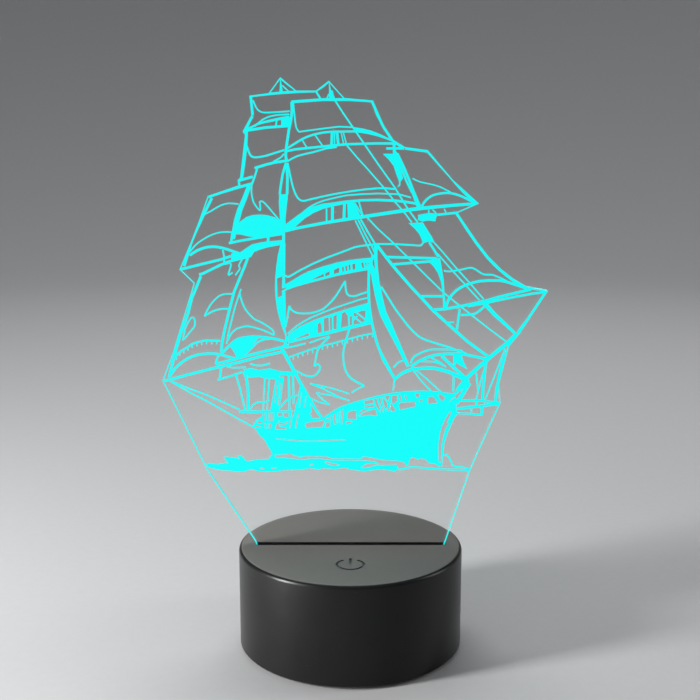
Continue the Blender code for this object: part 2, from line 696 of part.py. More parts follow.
clear_scene()
quarter_turn = Vector((0, 0, 1)).rotation_difference(Vector((0, -1, 0))).to_matrix()
side_turn = Vector((0, 0, 1)).rotation_difference(Vector((1, 0, 0))).to_matrix()
lamp = make_collection("edge_lit_lamp")
cutters = make_collection("cutters")
material_of = {name: make_material(name, *values) for name, values in MATERIALS.items()}

build_top_shell()
build_bottom_cover()
build_battery_door()
build_feet()
build_cells()
build_contacts()
build_control_board()
build_led_board()
build_plate_holder()
build_screws()
build_wires()
build_plate()
for piece in lamp.objects:
    if piece.type == "MESH":
        smooth(piece)
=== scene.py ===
# %% [markdown]
# # Edge-lit acrylic night lamp with an engraved sailing ship
# The lamp is a clear acrylic plate that stands in a slot of a round black base. Seven small LEDs
# under the plate send light into its foot. The light travels inside the sheet and only comes out
# where the surface is roughened: along the cut rim and in the engraved lines. This lesson dresses
# the finished CAD model: finishes for each solid, the engraving, and a quiet studio.

import json
import math

import bmesh
import bpy
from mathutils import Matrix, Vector, geometry

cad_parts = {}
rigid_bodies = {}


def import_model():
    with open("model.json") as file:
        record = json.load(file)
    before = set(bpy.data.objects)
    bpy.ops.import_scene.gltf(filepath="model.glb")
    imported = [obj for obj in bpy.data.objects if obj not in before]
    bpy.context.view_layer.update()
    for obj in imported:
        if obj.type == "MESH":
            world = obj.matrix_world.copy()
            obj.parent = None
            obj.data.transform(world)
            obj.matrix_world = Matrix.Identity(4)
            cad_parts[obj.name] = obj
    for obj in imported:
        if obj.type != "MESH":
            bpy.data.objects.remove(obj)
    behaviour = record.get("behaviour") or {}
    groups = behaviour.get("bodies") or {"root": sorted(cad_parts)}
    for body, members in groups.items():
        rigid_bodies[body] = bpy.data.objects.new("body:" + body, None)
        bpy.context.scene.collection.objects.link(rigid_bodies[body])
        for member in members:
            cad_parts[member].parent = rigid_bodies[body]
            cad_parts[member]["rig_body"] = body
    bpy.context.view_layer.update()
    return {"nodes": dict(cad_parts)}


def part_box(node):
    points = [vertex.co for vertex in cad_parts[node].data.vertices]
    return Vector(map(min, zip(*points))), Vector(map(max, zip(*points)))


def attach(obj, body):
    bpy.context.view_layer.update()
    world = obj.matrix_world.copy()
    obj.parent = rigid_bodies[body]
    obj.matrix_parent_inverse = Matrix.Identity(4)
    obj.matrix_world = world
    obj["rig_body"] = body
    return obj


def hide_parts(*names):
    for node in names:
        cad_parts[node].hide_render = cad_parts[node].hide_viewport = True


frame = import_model()
MM = 0.001

# %% [markdown]
# Two measures tie the looks to the solids. The engraving is drawn in millimetres on the plate's front
# face, with x across the plate and y upwards from the top of the base, so both numbers come from the
# CAD boxes instead of being typed in.

# %% Measure the base and the plate
BASE_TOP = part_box("top_shell")[1].z
PLATE_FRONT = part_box("acrylic_plate")[0].y
print("base top", round(BASE_TOP / MM, 2), "mm, plate front", round(PLATE_FRONT / MM, 2), "mm")

# %% [markdown]
# ## A small workshop for finishes
# A procedural finish is a graph of nodes. Wiring such a graph by hand hides the idea behind it, so a
# `Wire` stands for one socket and understands + - * / like a number. A `Finish` makes any node with
# one method: its type, its settings, then the values or wires of its sockets.


# %% Wires that do arithmetic
# A Mix node has sockets of equal names for numbers, vectors and colours, so the colour ones are
# reached by their number.
MIX_FACTOR, MIX_FIRST, MIX_SECOND, MIX_COLOUR = 0, 6, 7, 2


class Wire:
    """One output socket. Arithmetic on it adds Math nodes to its finish."""

    def __init__(self, finish, socket):
        self.finish = finish
        self.socket = socket

    def math(self, operation, first, second=0.0):
        inputs = {0: first, 1: second}
        return self.finish.node("ShaderNodeMath", {"operation": operation}, inputs)

    def __add__(self, other):
        return self.math("ADD", self, other)

    def __sub__(self, other):
        return self.math("SUBTRACT", self, other)

    def __rsub__(self, other):
        return self.math("SUBTRACT", other, self)

    def __mul__(self, other):
        return self.math("MULTIPLY", self, other)

    def __truediv__(self, other):
        return self.math("DIVIDE", self, other)

    def __gt__(self, other):
        return self.math("GREATER_THAN", self, other)

    def __lt__(self, other):
        return self.math("LESS_THAN", self, other)

    def absolute(self):
        return self.math("ABSOLUTE", self)

    def fraction(self):
        return self.math("FRACT", self)

    __radd__ = __add__


class Finish:
    """A material with one Principled shader and the nodes that feed it."""

    def __init__(self, name, **constants):
        self.material = bpy.data.materials.new(name)
        self.material.use_nodes = True
        self.tree = self.material.node_tree
        self.shader = self.tree.nodes["Principled BSDF"]
        for socket, value in constants.items():
            self.feed(socket.replace("_", " "), value)

    def feed(self, socket, value):
        target = self.shader.inputs[socket]
        if isinstance(value, Wire):
            self.tree.links.new(value.socket, target)
        else:
            target.default_value = value

    def node(self, kind, settings=None, inputs=None, output=0):
        made = self.tree.nodes.new(kind)
        for name, value in (settings or {}).items():
            setattr(made, name, value)
        for name, value in (inputs or {}).items():
            if isinstance(value, Wire):
                self.tree.links.new(value.socket, made.inputs[name])
            else:
                made.inputs[name].default_value = value
        return Wire(self, made.outputs[output])

    def place(self):
        return self.node("ShaderNodeTexCoord", output="Object")

    def axis(self, vector, letter):
        return self.node("ShaderNodeSeparateXYZ", None, {"Vector": vector}, letter)

    def facing(self, letter):
        normal = self.node("ShaderNodeNewGeometry", output="Normal")
        return self.axis(normal, letter)

    def noise(self, grain, detail=2.0, rough=0.5, stretch=None):
        """Soft random values between 0 and 1. The grain is the size of one blot in metres."""
        where = self.place()
        if stretch:
            where = self.node("ShaderNodeMapping", None, {"Vector": where, "Scale": stretch})
        inputs = {"Vector": where, "Scale": 1 / grain, "Detail": detail, "Roughness": rough}
        return self.node("ShaderNodeTexNoise", None, inputs, "Fac")

    def cells(self, size, output="Distance"):
        """Scattered cells of about the size in metres."""
        inputs = {"Vector": self.place(), "Scale": 1 / size}
        return self.node("ShaderNodeTexVoronoi", None, inputs, output)

    def blend(self, amount, first, second):
        """The first colour where the amount is 0, the second where it is 1."""
        inputs = {MIX_FACTOR: amount, MIX_FIRST: first, MIX_SECOND: second}
        return self.node("ShaderNodeMix", {"data_type": "RGBA"}, inputs, MIX_COLOUR)

    def bump(self, height, depth, strength=1.0):
        inputs = {"Height": height, "Distance": depth, "Strength": strength}
        self.feed("Normal", self.node("ShaderNodeBump", None, inputs, "Normal"))


def grey(value, tint=(1.0, 1.0, 1.0)):
    return (value * tint[0], value * tint[1], value * tint[2], 1.0)


print("workshop ready")

# %% [markdown]
# ## The black case
# The case is moulded ABS. Its wall comes from a polished tool, so it has a satin shine, while the
# disc on top has a fine spark texture that looks greyer and does not show fingerprints. One finish
# can do both: the mask below is 1 where the surface faces up. The top's grey is partly that texture
# and partly painted light: it is made much lighter than black ABS, as the lit disc looks, and warmed
# against the cyan light of the engraving. A sprinkle of dust and a slow change of roughness keep the
# wall from looking computed.

# %% Satin wall and sparked top
FACES_UP = 0.94
DUST_SHARE = 0.035
# painted light: a warm tint that offsets the cyan light the engraving casts on the top
WARMTH_AGAINST_CYAN_SPILL = (1.0, 0.94, 0.87)
case = Finish("case black", IOR=1.5, Specular_IOR_Level=0.24)
top_mask = case.facing("Z") > FACES_UP
spark = case.noise(0.00028, 3.0, 0.7)
cloud = case.noise(0.012, 4.0, 0.6)
dust = case.cells(0.0026) < DUST_SHARE
wall_colour = case.blend(cloud, grey(0.004), grey(0.008))
# partly painted light: the upward face is made far lighter than black ABS, as if lit, and warmed
# against the engraving's cyan light; the rest is the spark texture's grain
lit_sparked_top_colour = case.blend(spark, grey(0.085, WARMTH_AGAINST_CYAN_SPILL), grey(0.185, WARMTH_AGAINST_CYAN_SPILL))
dust_and_lit_top_colour = case.blend(dust * 0.22, case.blend(top_mask, wall_colour, lit_sparked_top_colour), grey(0.30))
case.feed("Base Color", dust_and_lit_top_colour)
case.feed("Roughness", 0.27 + cloud * 0.08 + top_mask * 0.3 + dust * 0.2)
case.bump(spark * (0.12 + top_mask * 0.88) + dust * 0.3, 0.00006, 0.6)

inner = Finish("case inside", IOR=1.5)
inner_grain = inner.noise(0.0004, 3.0, 0.6)
inner.feed("Base Color", inner.blend(inner_grain, grey(0.012), grey(0.024)))
inner.feed("Roughness", 0.48 + inner_grain * 0.2)
inner.bump(inner_grain, 0.00005, 0.5)

rubber = Finish("foot rubber", IOR=1.52)
rubber_grain = rubber.noise(0.0003, 4.0, 0.7)
rubber_scuff = rubber.noise(0.004, 3.0, 0.6)
rubber.feed("Base Color", rubber.blend(rubber_scuff, grey(0.014), grey(0.045)))
rubber.feed("Roughness", 0.72 + rubber_grain * 0.2)
rubber.bump(rubber_grain, 0.00008, 0.7)
print("case finishes:", case.material.name, inner.material.name, rubber.material.name)

# %% [markdown]
# ## Clear acrylic
# Cast acrylic bends light a little less than glass, with an index of 1.49. The two broad faces are
# polished and keep only faint wiping marks. The rim is laser-cut: it is finely ribbed across the
# thickness and, because it is rough, lets the trapped light out. The mask is 1 on the rim, where the
# surface does not face the front or the back.

# %% Polished faces and a glowing cut rim
GLOW = (0.0024, 0.955, 0.938, 1.0)
clear = Finish("acrylic", IOR=1.49, Transmission_Weight=1.0, Emission_Strength=0.45)
FACES_SIDEWAYS = 0.6
rim_mask = clear.facing("Y").absolute() < FACES_SIDEWAYS
wiped = clear.noise(0.02, 3.0, 0.6, (1.0, 1.0, 0.35))
ribs = clear.noise(0.0006, 2.0, 0.5, (1.0, 0.06, 1.0))
clear.feed("Base Color", clear.blend(wiped, grey(0.985), grey(0.97, (0.985, 1.0, 1.0))))
clear.feed("Roughness", wiped * 0.035 + rim_mask * 0.32)
clear.feed("Emission Color", clear.blend(rim_mask * (0.55 + ribs * 0.45), grey(0.0), GLOW))
clear.bump(rim_mask * ribs, 0.00008, 0.5)

# %% [markdown]
# The engraved lines are cut by a laser that frosts the acrylic. Each line is a dense field of tiny
# pits, so the glow has a very fine grain, and it fades a little with the distance from the LEDs.

# %% Frosted glow
frost = Finish("engraving glow", IOR=1.49, Emission_Strength=1.0, Specular_IOR_Level=0.15)
pits = frost.noise(0.00018, 2.0, 0.6)
height = frost.axis(frost.place(), "Z")
fade = 1.03 - (height - BASE_TOP) * 0.45
frost.feed("Base Color", frost.blend(pits, (0.0, 0.008, 0.008, 1.0), (0.0, 0.03, 0.03, 1.0)))
frost.feed("Emission Color", frost.blend(fade * (0.93 + pits * 0.12), grey(0.0), GLOW))
frost.feed("Roughness", 0.55 + pits * 0.2)
frost.bump(pits, 0.00003, 0.5)
print("acrylic and engraving finishes ready")

# %% [markdown]
# ## Metal, boards, cells and wires
# Most of these are only seen when the battery door is open, yet each keeps its own character:
# drawn steel with fine lines, passivated screws, a solder-masked board with copper tracks under the
# mask, wrapped cells with a printed band, and soft wire insulation.


# %% Metals
def metal(name, low, high, rough, tint, grain, stretch):
    made = Finish(name, Metallic=1.0)
    lines = made.noise(grain, 3.0, 0.6, stretch)
    blot = made.noise(0.003, 3.0, 0.6)
    made.feed("Base Color", made.blend(blot, grey(low, tint), grey(high, tint)))
    made.feed("Roughness", rough + lines * 0.16)
    made.bump(lines, 0.00003, 0.5)
    return made


steel = metal("nickel steel", 0.55, 0.74, 0.20, (1.0, 0.98, 0.94), 0.0005, (0.1, 1.0, 1.0))
can = metal("aluminium can", 0.62, 0.80, 0.26, (0.97, 0.98, 1.0), 0.0004, (1.0, 1.0, 0.1))
zinc = metal("zinc screw", 0.42, 0.66, 0.30, (0.96, 0.98, 1.0), 0.0003, (1.0, 1.0, 1.0))


# %% Boards and small plastic
def plastic(name, colour_a, colour_b, rough, grain, depth=0.00003):
    made = Finish(name, IOR=1.5)
    speckle = made.noise(grain, 3.0, 0.6)
    made.feed("Base Color", made.blend(speckle, colour_a, colour_b))
    made.feed("Roughness", rough + speckle * 0.14)
    made.bump(speckle, depth, 0.5)
    return made


TRACK_PITCH = 1.6 * MM
TRACK_GAP = 0.55
ZONE_SIZE = 11 * MM
EMPTY_ZONES = 0.45


def board(name, mask_dark, mask_light):
    """Solder mask with raised tracks: a fine stepped pattern where tracks run side by side."""
    made = Finish(name, IOR=1.5)
    across = (made.axis(made.place(), "X") / TRACK_PITCH).fraction()
    busy = made.axis(made.cells(ZONE_SIZE, "Color"), "X") > EMPTY_ZONES
    track = (across > TRACK_GAP) * busy
    weave = made.noise(0.0005, 2.0, 0.5)
    made.feed("Base Color", made.blend(track * 0.8 + weave * 0.15, mask_dark, mask_light))
    made.feed("Roughness", 0.28 + weave * 0.12)
    made.bump(track + weave * 0.2, 0.00006, 0.7)
    return made


board_green = board("green board", (0.004, 0.07, 0.022, 1.0), (0.012, 0.16, 0.05, 1.0))
board_white = board("white board", (0.70, 0.70, 0.67, 1.0), (0.86, 0.86, 0.83, 1.0))
nylon = plastic("nylon", grey(0.68, (1.0, 0.98, 0.92)), grey(0.80, (1.0, 0.98, 0.93)), 0.38, 0.0005)
chip = plastic("chip epoxy", grey(0.010), grey(0.028), 0.50, 0.0002)
red_wire = plastic("red wire", (0.42, 0.012, 0.010, 1.0), (0.56, 0.02, 0.015, 1.0), 0.36, 0.0012)
black_wire = plastic("black wire", grey(0.010), grey(0.022), 0.36, 0.0012)

# %% [markdown]
# The LED is a white cup filled with clear resin over a tinted chip, and it shines cyan. The cell
# wrap is printed film: black for most of its length with a warm band near one end.

# %% LED resin and cell wrap
resin = Finish("led resin", IOR=1.52, Emission_Strength=1.6, Coat_Weight=0.6)
swirl = resin.noise(0.0012, 2.0, 0.5)
resin.feed("Base Color", resin.blend(swirl, (0.45, 0.62, 0.60, 1.0), (0.7, 0.8, 0.78, 1.0)))
resin.feed("Emission Color", resin.blend(0.5 + swirl * 0.5, grey(0.0), GLOW))
resin.feed("Roughness", 0.18 + swirl * 0.1)

wrap = Finish("cell wrap", IOR=1.5, Coat_Weight=0.5)
BAND_MIDDLE = -0.023
BAND_HALF = 0.013
band = (wrap.axis(wrap.place(), "X") - BAND_MIDDLE).absolute() < BAND_HALF
film = wrap.noise(0.0035, 2.0, 0.5)
wrap_dark = wrap.blend(film, grey(0.012), grey(0.024))
wrap.feed("Base Color", wrap.blend(band, wrap_dark, (0.45, 0.17, 0.055, 1.0)))
wrap.feed("Metallic", band * 0.7)
wrap.feed("Roughness", 0.24 + film * 0.12)
wrap.bump(film, 0.00005, 0.4)
print("small finishes ready")

# %% [markdown]
# ## Dress the CAD solids
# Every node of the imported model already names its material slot. A table from slot to finish is
# enough to dress all fifty solids, and none of them is moved or reshaped.

# %% Give each solid its finish
finish_of = {
    "abs_black": case,
    "abs_inner": inner,
    "rubber_black": rubber,
    "acrylic_clear": clear,
    "board_green": board_green,
    "board_white": board_white,
    "led_lens": resin,
    "steel": steel,
    "aluminium_can": can,
    "zinc_screw": zinc,
    "nylon_white": nylon,
    "chip_black": chip,
    "cell_wrap": wrap,
    "wire_red": red_wire,
    "wire_black": black_wire,
}
slot_of = {}
for name, node in frame["nodes"].items():
    slot_of[name] = node.data.materials[0].name.split(".")[0]
    node.data.materials[0] = finish_of[slot_of[name]].material
print(len(slot_of), "solids dressed")

# %% [markdown]
# A CAD solid arrives as loose flat triangles, so a round wall shows its facets. The CAD mesh itself is
# never edited. Instead each round solid gets a copy whose corners are merged and whose shading runs
# smoothly up to an edge of more than 32 degrees, and the copy stands for the solid.


# %% Smooth copies of the round solids
WELD = 1e-6
SHARP_EDGE = math.radians(32)


def put(name, data):
    """Put the mesh, lamp or camera in the scene."""
    made = bpy.data.objects.new(name, data)
    bpy.context.scene.collection.objects.link(made)
    return made


def smooth_copy(name):
    node = frame["nodes"][name]
    shape = bmesh.new()
    shape.from_mesh(node.data)
    bmesh.ops.remove_doubles(shape, verts=shape.verts, dist=WELD)
    for face in shape.faces:
        face.smooth = True
    mesh = bpy.data.meshes.new("smooth_" + name)
    shape.to_mesh(mesh)
    shape.free()
    if "custom_normal" in mesh.attributes:
        mesh.attributes.remove(mesh.attributes["custom_normal"])
    mesh.set_sharp_from_angle(angle=SHARP_EDGE)
    mesh.materials.clear()
    mesh.materials.append(finish_of[slot_of[name]].material)
    piece = put("smooth_" + name, mesh)
    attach(piece, node["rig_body"])
    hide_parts(name)


ROUND = ("top_shell", "bottom_cover", "battery_door", "foot_", "aa_cell_", "contact_")
ROUND += ("cell_spring_", "touch_spring", "capacitor", "usb_socket", "battery_wire_", "led_wire_")
ROUND += ("case_screw_", "holder_screw_", "board_screw_", "led_board_screw_")
round_names = [name for name in sorted(slot_of) if name.startswith(ROUND)]
for name in round_names:
    smooth_copy(name)
print(len(round_names), "round solids have a smooth copy")

# %% [markdown]
# ## The engraving: how a line becomes a solid
# On the real plate a laser draws the ship as one set of frosted lines and filled areas. Curves with a
# bevel would overlap, and overlapping glowing tubes show their crossings. Here every line is a flat
# ribbon, every filled area a polygon, and a later shape may also cut a window out of an earlier one.
# A constrained triangulation then joins them all, and each triangle asks which shape was drawn last
# over it. The result is one clean sheet, which is given a thickness at the end.

# %% Ribbons, fills and cuts
drawing = []


def fill(*outline):
    drawing.append((True, outline))


def cut(*outline):
    drawing.append((False, outline))


MOST_STEPS = 5
BEND_PER_STEP = 0.14


def through(points):
    """A smooth path through the points, as a Catmull-Rom spline. A sharper bend gets more steps."""
    knots = [Vector(point) for point in points]
    if len(knots) < 3:
        return knots
    knots = [knots[0] * 2 - knots[1], *knots, knots[-1] * 2 - knots[-2]]
    path = []
    for before, start, end, after in zip(knots, knots[1:], knots[2:], knots[3:]):
        bend = (end - start).angle(after - end, 0) + (start - before).angle(end - start, 0)
        count = max(1, min(MOST_STEPS, round(bend / BEND_PER_STEP)))
        for step in range(count):
            t = step / count
            cubic = (start * 3 - before - end * 3 + after) * t**3
            square = (before * 2 - start * 5 + end * 4 - after) * t**2
            path.append((start * 2 + (end - before) * t + square + cubic) / 2)
    path.append(knots[-2])
    return path


SPOT = 0.06


def ribbon(width, points, inked=True):
    """A line of the given width, or of a width that changes from its first end to its last.
    The laser's spot makes every line a little wider, and every gap a little narrower."""
    first, last = width if isinstance(width, tuple) else (width, width)
    spread = SPOT if inked else -SPOT / 2
    path = through(points)
    sides = []
    for index, point in enumerate(path):
        ahead = path[min(index + 1, len(path) - 1)]
        behind = path[max(index - 1, 0)]
        along = (ahead - behind).normalized()
        half = (first + spread + (last - first) * index / (len(path) - 1)) / 2
        across = Vector((-along.y, along.x)) * half
        sides.append((point + across, point - across))
    for (left_a, right_a), (left_b, right_b) in zip(sides, sides[1:]):
        drawing.append((inked, (left_a, right_a, right_b, left_b)))


def lines(width, *paths):
    for path in paths:
        ribbon(width, path)


# %% [markdown]
# The drawing is made mast by mast in plate millimetres. The aft mast comes first: its topgallant and
# topsail are four-sided sails, whose edges belly between two yards.

# %% Aft mast: upper sails
fill((-25.3, 177.5), (-25.7, 172), (-24.4, 172))
lines(0.45, [(-25.4, 177.2), (-29.5, 171.9)], [(-25, 176.8), (-22.3, 174.6), (-19.4, 172.7)])
lines(0.45, [(-24.6, 174.6), (-22.2, 172.3)], [(-40.8, 139.9), (-40.6, 138.8)])
lines(0.85, [(-36.4, 170.8), (-32.6, 171.3), (-25.2, 172), (-18.7, 172.4), (-12.5, 172.6)])
lines(0.65, [(-12.5, 172.6), (-10.9, 170)], [(-34.2, 144.8), (-35, 142.3), (-36.3, 139)])
lines(0.9, [(-36.2, 170.6), (-35.8, 167.1), (-36.1, 163.9), (-37.1, 161), (-38, 158.7)])
lines(0.5, [(-35.3, 169.4), (-34.2, 166.8), (-32.9, 165.5), (-31, 165), (-26.2, 165.2),
            (-22, 165.5)])
lines(0.5, [(-34.8, 160.1), (-32.2, 162.3), (-29.3, 163.6), (-25.8, 164.2), (-22.2, 164.4)])
lines((0.6, 1), [(-37.3, 159.2), (-33.8, 160.9), (-29.6, 162), (-25.8, 162.8), (-22.2, 163.4)])
lines(0.9, [(-39.2, 158.2), (-37.4, 158.7), (-30.6, 159.7), (-22.2, 160.3)])
fill((-25.2, 160.2), (-22, 160.4), (-21.9, 163.4), (-25.2, 162.8))
lines(0.9, [(-37.8, 158.2), (-38.1, 153.3), (-38.5, 150.1), (-39.1, 145.9), (-39.9, 141.3)])
lines(0.65, [(-37.9, 153.3), (-37.2, 151.1), (-36.3, 149.5), (-34.7, 149), (-30.8, 149.6),
             (-24.2, 151.6)])
lines(0.5, [(-28.2, 147.5), (-25.5, 148.9), (-24.3, 150.3)], [(-27.1, 160.2), (-26.8, 162.3)])
lines(0.9, [(-35.1, 145.1), (-30.8, 146.4), (-27.5, 147.2), (-23.2, 147.8)],
           [(-41.2, 140.5), (-35.8, 142)])

# %% Aft mast: the wide topsail
lines(0.95, [(-52.2, 134.7), (-47.3, 136.3), (-42, 137.9), (-36.4, 139.4)])
lines(0.9, [(-51, 134.2), (-53.4, 129.7), (-57.5, 121.4), (-59.1, 117.8), (-60, 114.8),
            (-61.9, 109.1)])
lines(0.5, [(-53.9, 128.2), (-51.4, 129.5), (-48.1, 131.4), (-44.8, 132.3), (-41.2, 132)])
lines((1.5, 2), [(-37.2, 138.6), (-39, 134), (-40.8, 130), (-42, 126)])
lines((2, 1.3), [(-42, 126), (-43, 122), (-43.5, 119.2)])
lines(0.5, [(-59.7, 114.4), (-57.7, 116.7), (-55.1, 118.7), (-51.4, 120.7), (-47.7, 121.7),
            (-43.8, 121.7)])
lines(0.9, [(-59.7, 113.1), (-57.1, 114.8), (-53.8, 116), (-50.4, 116.3), (-46.5, 115.6),
            (-41.2, 113.8)])
lines(0.9, [(-63.7, 107.9), (-61.9, 108.2), (-55, 109.9), (-48, 111.6), (-44.5, 112.8)])
lines(0.9, [(-56.4, 105.9), (-54.8, 106.4), (-48.2, 109.6), (-44.9, 110.9), (-39, 112.4)])
fill(
    (-44.3, 113.7), (-43, 114.3), (-41, 114.2), (-37.3, 113.5), (-37.5, 112.2), (-41, 111.8),
    (-44.3, 111),
)
fill(
    (-41, 114.2), (-39, 115.6), (-36.7, 117.1), (-33.4, 117.9), (-31.4, 118.2), (-25.2, 118.8),
    (-25.2, 117.2), (-26.2, 116.9), (-30.1, 116.2), (-33.1, 115.4), (-35.7, 114.4), (-37, 112.4),
)
lines(0.55, [(-47.4, 115.1), (-46.9, 112.4)], [(-46.9, 112), (-47, 110.4)])
lines(0.9, [(-30.5, 120.2), (-30.5, 118.2)])
fill(
    (-42.2, 123.5), (-40.7, 125.7), (-38.4, 127.3), (-36.1, 128), (-33.5, 128.2), (-30.8, 128),
    (-27.9, 127.2), (-26.2, 125.7), (-24.5, 124.5), (-24.6, 121.2), (-30, 120.4), (-35, 119.8),
    (-38.2, 120.2), (-40.5, 120.8), (-43.3, 121),
)
lines(0.85, [(-45.1, 117.6), (-41.4, 118.4), (-35.1, 119.5), (-30.1, 120.3), (-25.2, 121.1)])
lines(0.8, [(-43.7, 121.5), (-44.2, 118)])
lines(0.5, [(-36.3, 139), (-36.4, 136.5), (-36.1, 134.2), (-35.3, 132), (-33.3, 129.7),
            (-33.4, 132.6)])
lines(0.5, [(-33.6, 132.6), (-32.8, 133.1), (-31.5, 132.3), (-29.5, 130), (-27.6, 127.7),
            (-26, 125.7)])

# %% [markdown]
# The aft course is the big lowest sail. A row of reef points hangs from a line across it; they are
# all alike, so a node tree adds them later.

# %% Aft mast: the course
lines(0.5, [(-47.2, 109.8), (-44.5, 109.9), (-45.5, 105.9), (-43.9, 106.7)])
lines(0.5, [(-42.9, 105.7), (-41.2, 108.1), (-41.5, 109.4), (-40.2, 111.8)])
lines(0.9, [(-55.8, 105.3), (-57.6, 101), (-59.4, 97), (-61, 91), (-63.6, 84.5), (-65.8, 77.6),
            (-68.8, 66.9)])
lines(0.9, [(-38.2, 112.1), (-39.2, 109.4), (-41.5, 104.1), (-43.5, 99.4), (-45.3, 93),
            (-47.3, 85.1)])
lines(0.9, [(-47.3, 85.1), (-48.3, 80.7), (-48.7, 77.2), (-48.4, 76.2)])
lines(0.5, [(-40.9, 100.5), (-41.9, 97.7), (-43.2, 93.9), (-44.2, 90.3), (-45.6, 85.1),
            (-46.7, 79.7)])
lines(0.55, [(-41.4, 98.7), (-40.5, 95.3), (-38.9, 92.2), (-36.1, 89.2), (-33.4, 87.9),
             (-29.4, 85.1), (-28.7, 83.1)])
lines(0.55, [(-46.2, 81), (-45, 83.4), (-43, 85.3), (-40.3, 86.2), (-37.6, 86.3), (-31.9, 84.6),
             (-28.9, 83.1)])
lines(0.5, [(-54.8, 90.2), (-52.9, 93.9), (-50.2, 97), (-47.5, 98.5), (-43.9, 98.7)])
lines(0.6, [(-54.8, 90.3), (-51.6, 92.1), (-48.2, 93), (-45.5, 93)])
lines(0.5, [(-63.2, 80.9), (-62.3, 85.1), (-61, 87.9), (-59.6, 89.7), (-58.6, 89.2), (-58.6, 86.5),
            (-60, 84.7), (-62.7, 81.4)])
AFT_REEF = [(-66.5, 74.5), (-64.5, 76.5), (-62.1, 78), (-59.5, 79.7), (-56.8, 80.5), (-54.2, 81),
            (-49.1, 80.9)]
lines(0.7, AFT_REEF)
lines(0.9, [(-68.6, 67.2), (-66.3, 70.3), (-63.6, 72.7), (-60.3, 74.6), (-57, 75.6), (-53, 76),
            (-49, 75.6), (-43.3, 73.9)])
lines(0.95, [(-70.6, 65.5), (-68.1, 66), (-62.4, 67.6), (-50.3, 70.7), (-42.2, 72.6), (-35.4, 74.5),
             (-26, 76.6)])
lines(0.95, [(-51.1, 71.9), (-45.6, 73.3), (-38.8, 75.2), (-32, 76.9), (-25.9, 78.4),
             (-23.2, 79.3)])
lines(0.65, [(-50, 75.1), (-51.1, 72)],
            [(-39.8, 75.7), (-37.1, 78.3), (-35, 80.3), (-32.3, 81.4), (-30, 81.7)])
lines(0.9, [(-48.4, 76.2), (-46.4, 78.3), (-43, 81.2), (-40, 82.1), (-36.6, 82.4), (-32.3, 82.2),
            (-28.3, 81.6), (-24, 80.5)])
fill(
    (-45.7, 79.3), (-43, 81.2), (-38.3, 82.2), (-34.6, 81.9), (-36, 80.3), (-37.4, 78.3),
    (-39.8, 75.9), (-40.5, 74.1), (-42.9, 74.1), (-43.8, 76.2), (-45.1, 78.3),
)
lines(0.7, [(-50.4, 65.8), (-45.5, 67.2), (-40.9, 68.9)], [(-49, 70.3), (-49.6, 65.9)])
lines(0.6, [(-46.6, 71), (-44.2, 70.5), (-39.5, 70.7)],
           [(-37.8, 72.1), (-35.5, 71.4), (-32.8, 71.5), (-30.4, 72.2)])
fill(
    (-40.6, 70), (-37.5, 70.4), (-34.5, 69.6), (-30.6, 70.3), (-27.2, 69.3), (-23.5, 69),
    (-21, 68.8), (-21.2, 67.6), (-23.5, 67.5), (-26.3, 67.7), (-28, 66.1), (-31.1, 66.1),
    (-34.4, 67), (-38.7, 66.7),
)
lines(0.95, [(-40.2, 69), (-39.3, 65.5), (-38.9, 60.2), (-39, 54.2)])
lines(0.6, [(-43.4, 67.6), (-42.2, 63.4), (-40.7, 56.7), (-40.1, 53.9)])
lines(0.45, [(-32.5, 66.5), (-33.3, 53.9)], [(-30.8, 66), (-31.8, 53.9)])
lines(1.0, [(-42.5, 53.4), (-22, 53.4)])
lines(0.55, [(-68.1, 65.2), (-61, 60.9), (-55.8, 58.2), (-50, 54.9), (-42.3, 50.3), (-36.9, 47.3)])
lines(0.55, [(-68.1, 65.3), (-60.9, 62.3), (-55.8, 60.4), (-50, 57.9), (-42.2, 54.2)])
lines(0.6, [(-38.2, 54.6), (-37.1, 56), (-35.1, 57.1), (-32.7, 57.1), (-31, 57.9)])
lines(0.6, [(-26.8, 54.9), (-24.7, 57.4), (-22.3, 59.1), (-20, 59.8)])
fill((-28.2, 67), (-25.2, 67), (-27.2, 53), (-30.7, 53))
cut((-27.7, 65.5), (-27.3, 65.5), (-28.6, 57), (-29, 57))
cut((-26.6, 64.5), (-26.3, 64.5), (-27.4, 56), (-27.7, 56))
lines(0.7, [(-23.4, 68.4), (-23.2, 53.6)], [(-21.8, 68.4), (-21.6, 56.5)])
lines((1.3, 0.9), [(-25.9, 77.9), (-22.2, 71), (-19.2, 65.1), (-16.2, 59.5), (-13.2, 54.2),
                   (-10.7, 50.7)])

# %% [markdown]
# The main mast is a spindle of laced pieces between the two stacks of sails.

# %% Main mast
lines(0.8, [(-23.6, 147), (-24.9, 142.7), (-25.7, 138), (-26, 135.6)])
lines(0.9, [(-23.3, 147), (-23.1, 141), (-23.3, 135.6)])
fill(
    (-26.2, 135.6), (-26.4, 132.6), (-26.2, 129.5), (-26, 126), (-25.8, 124.5), (-23.9, 124.5),
    (-24, 126.5), (-23.5, 131), (-23.1, 134), (-23, 135.6),
)
lines(1.0, [(-24.7, 124.7), (-24.8, 117.3)])
fill(
    (-25.9, 117.5), (-27, 113), (-27.6, 109), (-28, 105), (-28.2, 101), (-28, 97), (-27.5, 93),
    (-26.8, 90), (-26, 87), (-25.1, 84.5), (-24.3, 82), (-24, 80.8), (-23.3, 81), (-24, 83),
    (-24.6, 85.5), (-24.5, 88), (-24.3, 92), (-24.4, 105), (-24.3, 109), (-24.1, 117.5),
)
lines(0.9, [(-23.9, 82.5), (-24.2, 80.8), (-24.8, 79.2)])
cut((-27.4, 104.5), (-25.4, 105.3), (-25.6, 97.9), (-27.3, 97.3))

# %% [markdown]
# The fore mast carries the largest sails, seen almost square on. Between each sail's foot and the
# yard below it the rigging shows as short slats.

